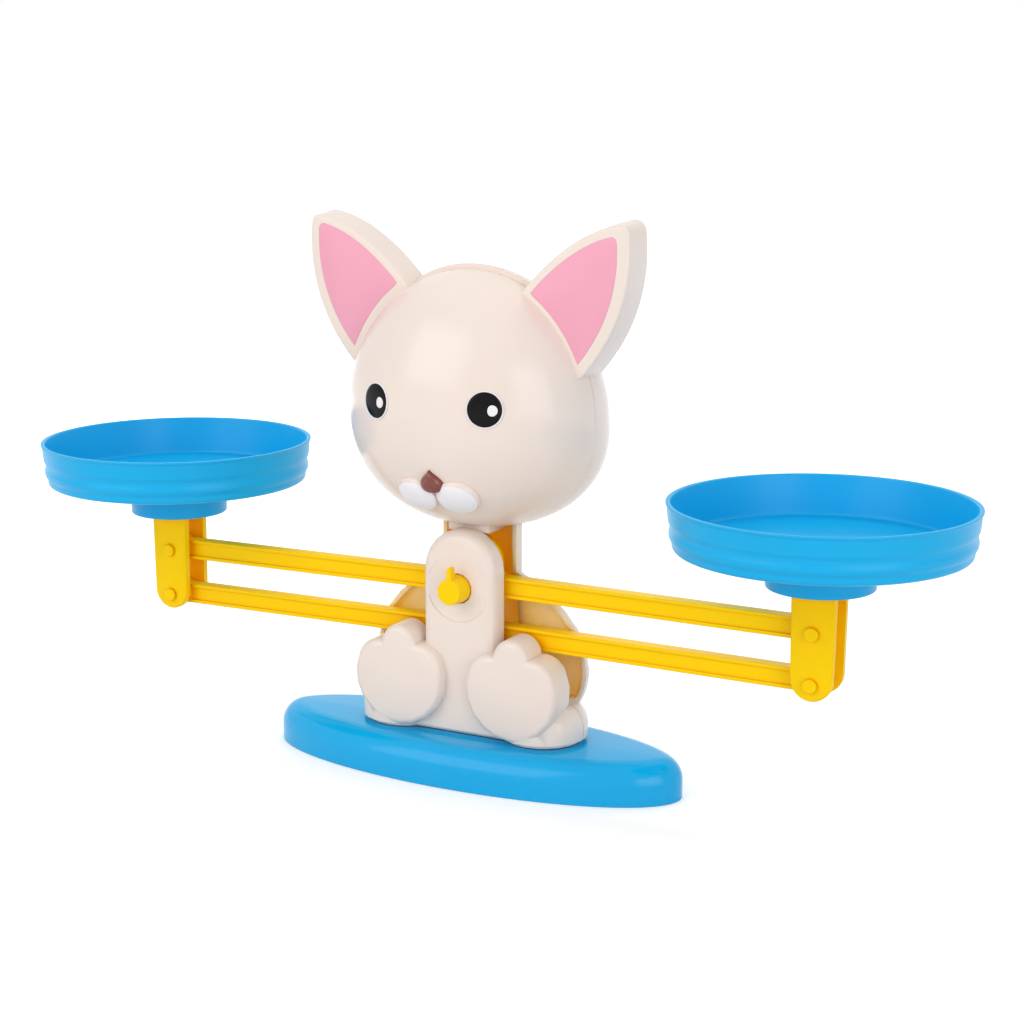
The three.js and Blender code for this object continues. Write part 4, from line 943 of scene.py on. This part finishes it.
def nose_outline():
    """A rounded pick with its point up and hollow upper sides, clockwise from the point."""
    right = []
    for side in (NOSE_UPPER_SIDE, NOSE_LOWER_SIDE):
        right += bezier(*[(NOSE_HALF_WIDTH * across, NOSE_HALF_HEIGHT * up) for across, up in side])
    left = [Vector((-p.x, p.y)) for p in reversed(right[1:])]
    return right + [Vector((0, -NOSE_HALF_HEIGHT))] + left


def nose_shape():
    outline = nose_outline()
    middle = Vector((0, -NOSE_HALF_HEIGHT * NOSE_MIDDLE_DROP))
    rings = [[(middle.x, middle.y, -NOSE_ROOT)], [(p.x, p.y, -NOSE_ROOT) for p in outline]]
    steps = 2 * ARC_STEPS
    for k in range(steps):
        turn = math.pi / 2 * k / steps
        share = math.cos(turn) ** NOSE_SIDE_POWER
        height = NOSE_PROUD * math.sin(turn) ** NOSE_TOP_POWER
        rings.append([(*(middle + (p - middle) * share), height) for p in outline])
    return skinned(rings + [[(middle.x, middle.y, NOSE_PROUD)]])


add_fine("nose", placed(nose_shape(), face_frame(0, HEAD_MIDDLE.z - NOSE_DROP)), "brown_paint")


def puff_shape(reach, grow, lean_down, lean_across):
    """Part of a flattened ball round a leaning axis, out to an angle from that axis, in degrees."""
    reach = math.radians(reach)
    rings = [[(0, 0, 1)]]
    for k in range(1, PUFF_RINGS + 1):
        angle = reach * k / PUFF_RINGS
        rings.append([(a, b, math.cos(angle)) for a, b in circle(math.sin(angle), 2 * SMALL_STEPS)])
    rings.append([(0, 0, math.cos(reach))])
    down = Matrix.Rotation(math.radians(lean_down), 4, "X")
    turn = down @ Matrix.Rotation(math.radians(lean_across), 4, "Y")
    sizes = [half + grow for half in MUZZLE_HALVES]
    return placed(skinned(rings), Matrix.Diagonal((*sizes, 1)) @ turn)


for word, sign in SIDES.items():
    at_puff = face_frame(sign * MUZZLE_SPREAD, HEAD_MIDDLE.z - MUZZLE_DROP)
    painted = puff_shape(PAINT_REACH, PAINT_PROUD, PAINT_LEAN, -PAINT_LEAN * sign)
    add_fine(f"muzzle_{word}", placed(painted, at_puff), "white_paint")
    skin = new_object(f"muzzle_skin_{word}", placed(puff_shape(PUFF_REACH, 0, 0, 0), at_puff))
    dress(skin, "cream_plastic", "stand")


# Pivot knob with its pointer, and the pins at the ends of the beams
KNOB_CORNERS = [
    (0, KNOB_FACE_Y, 0),
    (4.4, KNOB_FACE_Y, 0.5),
    (5, -11.5, 0.2),
    (5, -3.6, 0.2),
    (3.2, -3.6, 0),
    (3.2, 3.3, 0),
    (2.5, 3.3, 0),
    (2.5, 10.1, 0.3),
    (0, 10.1, 0),
]
POINTER_CORNERS = [(-0.95, 3), (-0.76, 7.9), (-0.5, 8.45), (0, 8.6), (0.5, 8.45), (0.76, 7.9), (0.95, 3)]
pointer_outline = [Vector((x, UPPER_PIVOT_Z + rise)) for x, rise in POINTER_CORNERS]
pointer = slab(pointer_outline, KNOB_FACE_Y + POINTER_SET_BACK, KNOB_FACE_Y + POINTER_DEPTH,
               POINTER_ROUND, steps=POINTER_ARC_STEPS)
knob = turned_across(softened(KNOB_CORNERS), 0, UPPER_PIVOT_Z, 2 * SMALL_STEPS)
add_fine("pivot_knob", together(knob, pointer), "yellow_plastic")

PIN_CORNERS = [(0, -8.6, 0), (2.4, -8.6, 0.5), (2.4, -7.3, 0.15), (2, -7.3, 0), (2, 7, 0.3), (0, 7, 0)]
for word, sign in SIDES.items():
    for level, z in END_PIVOT_LEVELS.items():
        pin = turned_across(softened(PIN_CORNERS), sign * ARM_LENGTH, z)
        add_fine(f"{word}_{level}_pin", pin, "yellow_plastic")


# Screws with a cross recess. Each is drawn with its seat at the origin and its head up

def screw_shape():
    top = SCREW_HEAD_HEIGHT
    shank = [(0, -SCREW_LENGTH), (SCREW_RADIUS, -SCREW_LENGTH + SCREW_RADIUS), (SCREW_RADIUS, 0)]
    head = [(SCREW_HEAD_RADIUS * across, top * up) for across, up in SCREW_HEAD_SIDE]
    side = turned_up(shank + head, 0, 0, SMALL_STEPS)
    rim = [Vector((a, b, top)) for a, b in circle(SCREW_FACE_RADIUS, SMALL_STEPS)]
    long, short = CROSS_HALF_LENGTH, CROSS_HALF_WIDTH
    quarter = [(long, -short), (long, short), (short, short)]
    cross = []
    for k in range(4):
        turn = Matrix.Rotation(math.pi / 2 * k, 3, "Z")
        cross.extend(turn @ Vector((*corner, top)) for corner in quarter)
    around = [tuple(point) for point in rim + cross]
    face = tessellate_polygon([rim, cross])
    floor = [(x * CROSS_TAPER, y * CROSS_TAPER, top - CROSS_DEPTH) for x, y, _ in cross]
    walls, wall_faces = skinned([[tuple(point) for point in cross], floor])
    wall_faces.append(tuple(range(len(cross), 2 * len(cross))))
    return together(side, (around, [tuple(corners) for corners in face]), (walls, wall_faces))


HEAD_DOWN = Matrix.Rotation(math.pi, 4, "X")
HEAD_BACK = Matrix.Rotation(-math.pi / 2, 4, "X")
for node, (x, y) in base_screw_places.items():
    place = Matrix.Translation((x, y, BASE_SEAT_Z)) @ HEAD_DOWN
    add_fine(node, placed(screw_shape(), place), "steel")
for word, sign in SIDES.items():
    x, y, z = BODY_SCREW
    place = Matrix.Translation((sign * x, y, z)) @ HEAD_BACK
    add_fine(f"body_screw_{word}", placed(screw_shape(), place), "steel")
for word, (x, z) in HEAD_SCREWS.items():
    place = Matrix.Translation((x, HEAD_SCREW_SEAT_Y, z)) @ HEAD_BACK
    add_fine(f"head_screw_{word}", placed(screw_shape(), place), "steel")


# Stage: a pale floor, a white surround, soft boxes and the photograph's camera

FLOOR_REACH = 12.0
FLOOR_DROP = 0.2 * MM
FLOOR_GREY = 0.72

# Light that the floor adds for the viewer, near and far, and how far from the toy near and far are
FLOOR_LIFT = (0.4, 0.8)
FLOOR_LIFT_PLACES = (0.15, 0.9)

SURROUND_STRENGTH = 0.66
TOY_MIDDLE = (0.0, 0.0, 0.09)

# Lamps: place, spans across and up in metres, power in watts, and whether glossy pieces mirror them
LAMPS = {
    "key": ((-0.5, -1.1, 0.75), (1.1, 1.1), 7.0, True),
    "fill": ((1.0, -0.6, 0.2), (0.7, 1.0), 5.0, True),
    "top": ((0.0, 0.5, 0.95), (0.9, 0.16), 2.4, False),
    "back": ((-0.7, 0.75, 0.25), (0.9, 0.6), 4.4, False),
}


def white_for_viewer(tree):
    """One where the viewer, or a mirror or glass on the object, looks straight at the surface."""
    path = add_node(tree, "ShaderNodeLightPath")
    seen = add_node(tree, "ShaderNodeMath", operation="MAXIMUM")
    either = add_node(tree, "ShaderNodeMath", operation="MAXIMUM")
    tree.links.new(path.outputs["Is Camera Ray"], seen.inputs[0])
    tree.links.new(path.outputs["Is Glossy Ray"], seen.inputs[1])
    tree.links.new(seen.outputs[0], either.inputs[0])
    tree.links.new(path.outputs["Is Transmission Ray"], either.inputs[1])
    return either.outputs[0]


def floor_material():
    """Pale grey, lifted to white for the viewer, more so away from the toy and its shadow."""
    material, tree = new_material("pale_floor")
    diffuse = add_node(tree, "ShaderNodeBsdfDiffuse")
    set_inputs(diffuse, Color=(FLOOR_GREY, FLOOR_GREY, FLOOR_GREY, 1))
    place = add_node(tree, "ShaderNodeTexCoord").outputs["Object"]
    reach = add_node(tree, "ShaderNodeVectorMath", operation="LENGTH")
    tree.links.new(place, reach.inputs[0])
    level = spread(tree, reach.outputs["Value"], *FLOOR_LIFT, *FLOOR_LIFT_PLACES)
    amount = add_node(tree, "ShaderNodeMath", operation="MULTIPLY")
    tree.links.new(white_for_viewer(tree), amount.inputs[0])
    tree.links.new(level, amount.inputs[1])
    lift = add_node(tree, "ShaderNodeEmission")
    set_inputs(lift, Color=(1, 1, 1, 1))
    tree.links.new(amount.outputs[0], lift.inputs["Strength"])
    both = add_node(tree, "ShaderNodeAddShader")
    output = add_node(tree, "ShaderNodeOutputMaterial")
    tree.links.new(diffuse.outputs[0], both.inputs[0])
    tree.links.new(lift.outputs[0], both.inputs[1])
    tree.links.new(both.outputs[0], output.inputs["Surface"])
    return material


def add_floor():
    mesh = bpy.data.meshes.new("floor")
    signs = ((-1, -1), (1, -1), (1, 1), (-1, 1))
    corners = [(x * FLOOR_REACH, y * FLOOR_REACH, -FLOOR_DROP) for x, y in signs]
    mesh.from_pydata(corners, [], [(0, 1, 2, 3)])
    floor = bpy.data.objects.new("floor", mesh)
    bpy.context.scene.collection.objects.link(floor)
    floor.data.materials.append(floor_material())


def add_world(strength):
    world = bpy.data.worlds.new("studio")
    world.use_nodes = True
    tree = world.node_tree
    tree.nodes.clear()
    surround = add_node(tree, "ShaderNodeBackground")
    set_inputs(surround, Color=(1, 1, 1, 1), Strength=strength)
    white = add_node(tree, "ShaderNodeBackground")
    set_inputs(white, Color=(1, 1, 1, 1), Strength=1.0)
    pick = add_node(tree, "ShaderNodeMixShader")
    output = add_node(tree, "ShaderNodeOutputWorld")
    tree.links.new(white_for_viewer(tree), pick.inputs["Fac"])
    tree.links.new(surround.outputs[0], pick.inputs[1])
    tree.links.new(white.outputs[0], pick.inputs[2])
    tree.links.new(pick.outputs[0], output.inputs["Surface"])
    bpy.context.scene.world = world


def add_softbox(name, place, spans, power, is_mirrored):
    """A lamp that faces the toy. Lamps behind it aren't mirrored, so that its edges don't burn out."""
    data = bpy.data.lights.new(name, "AREA")
    data.shape = "RECTANGLE"
    data.size, data.size_y = spans
    data.energy = power
    lamp = bpy.data.objects.new(name, data)
    lamp.location = place
    lamp.rotation_euler = (Vector(TOY_MIDDLE) - Vector(place)).to_track_quat("-Z", "Y").to_euler()
    lamp.visible_glossy = is_mirrored
    bpy.context.scene.collection.objects.link(lamp)


def add_camera():
    data = bpy.data.cameras.new("camera")
    data.lens = CAMERA_LENS
    data.sensor_width = CAMERA_SENSOR
    data.clip_start = CAMERA_CLIP_START
    camera = bpy.data.objects.new("camera", data)
    camera.location = CAMERA_PLACE
    camera.rotation_euler = (math.radians(90 - CAMERA_PITCH), 0, math.radians(CAMERA_AZIMUTH))
    bpy.context.scene.collection.objects.link(camera)
    bpy.context.scene.camera = camera


add_floor()
add_world(SURROUND_STRENGTH)
for name, (place, spans, power, is_mirrored) in LAMPS.items():
    add_softbox(name, place, spans, power, is_mirrored)
add_camera()

bpy.context.scene.view_settings.view_transform = "Standard"
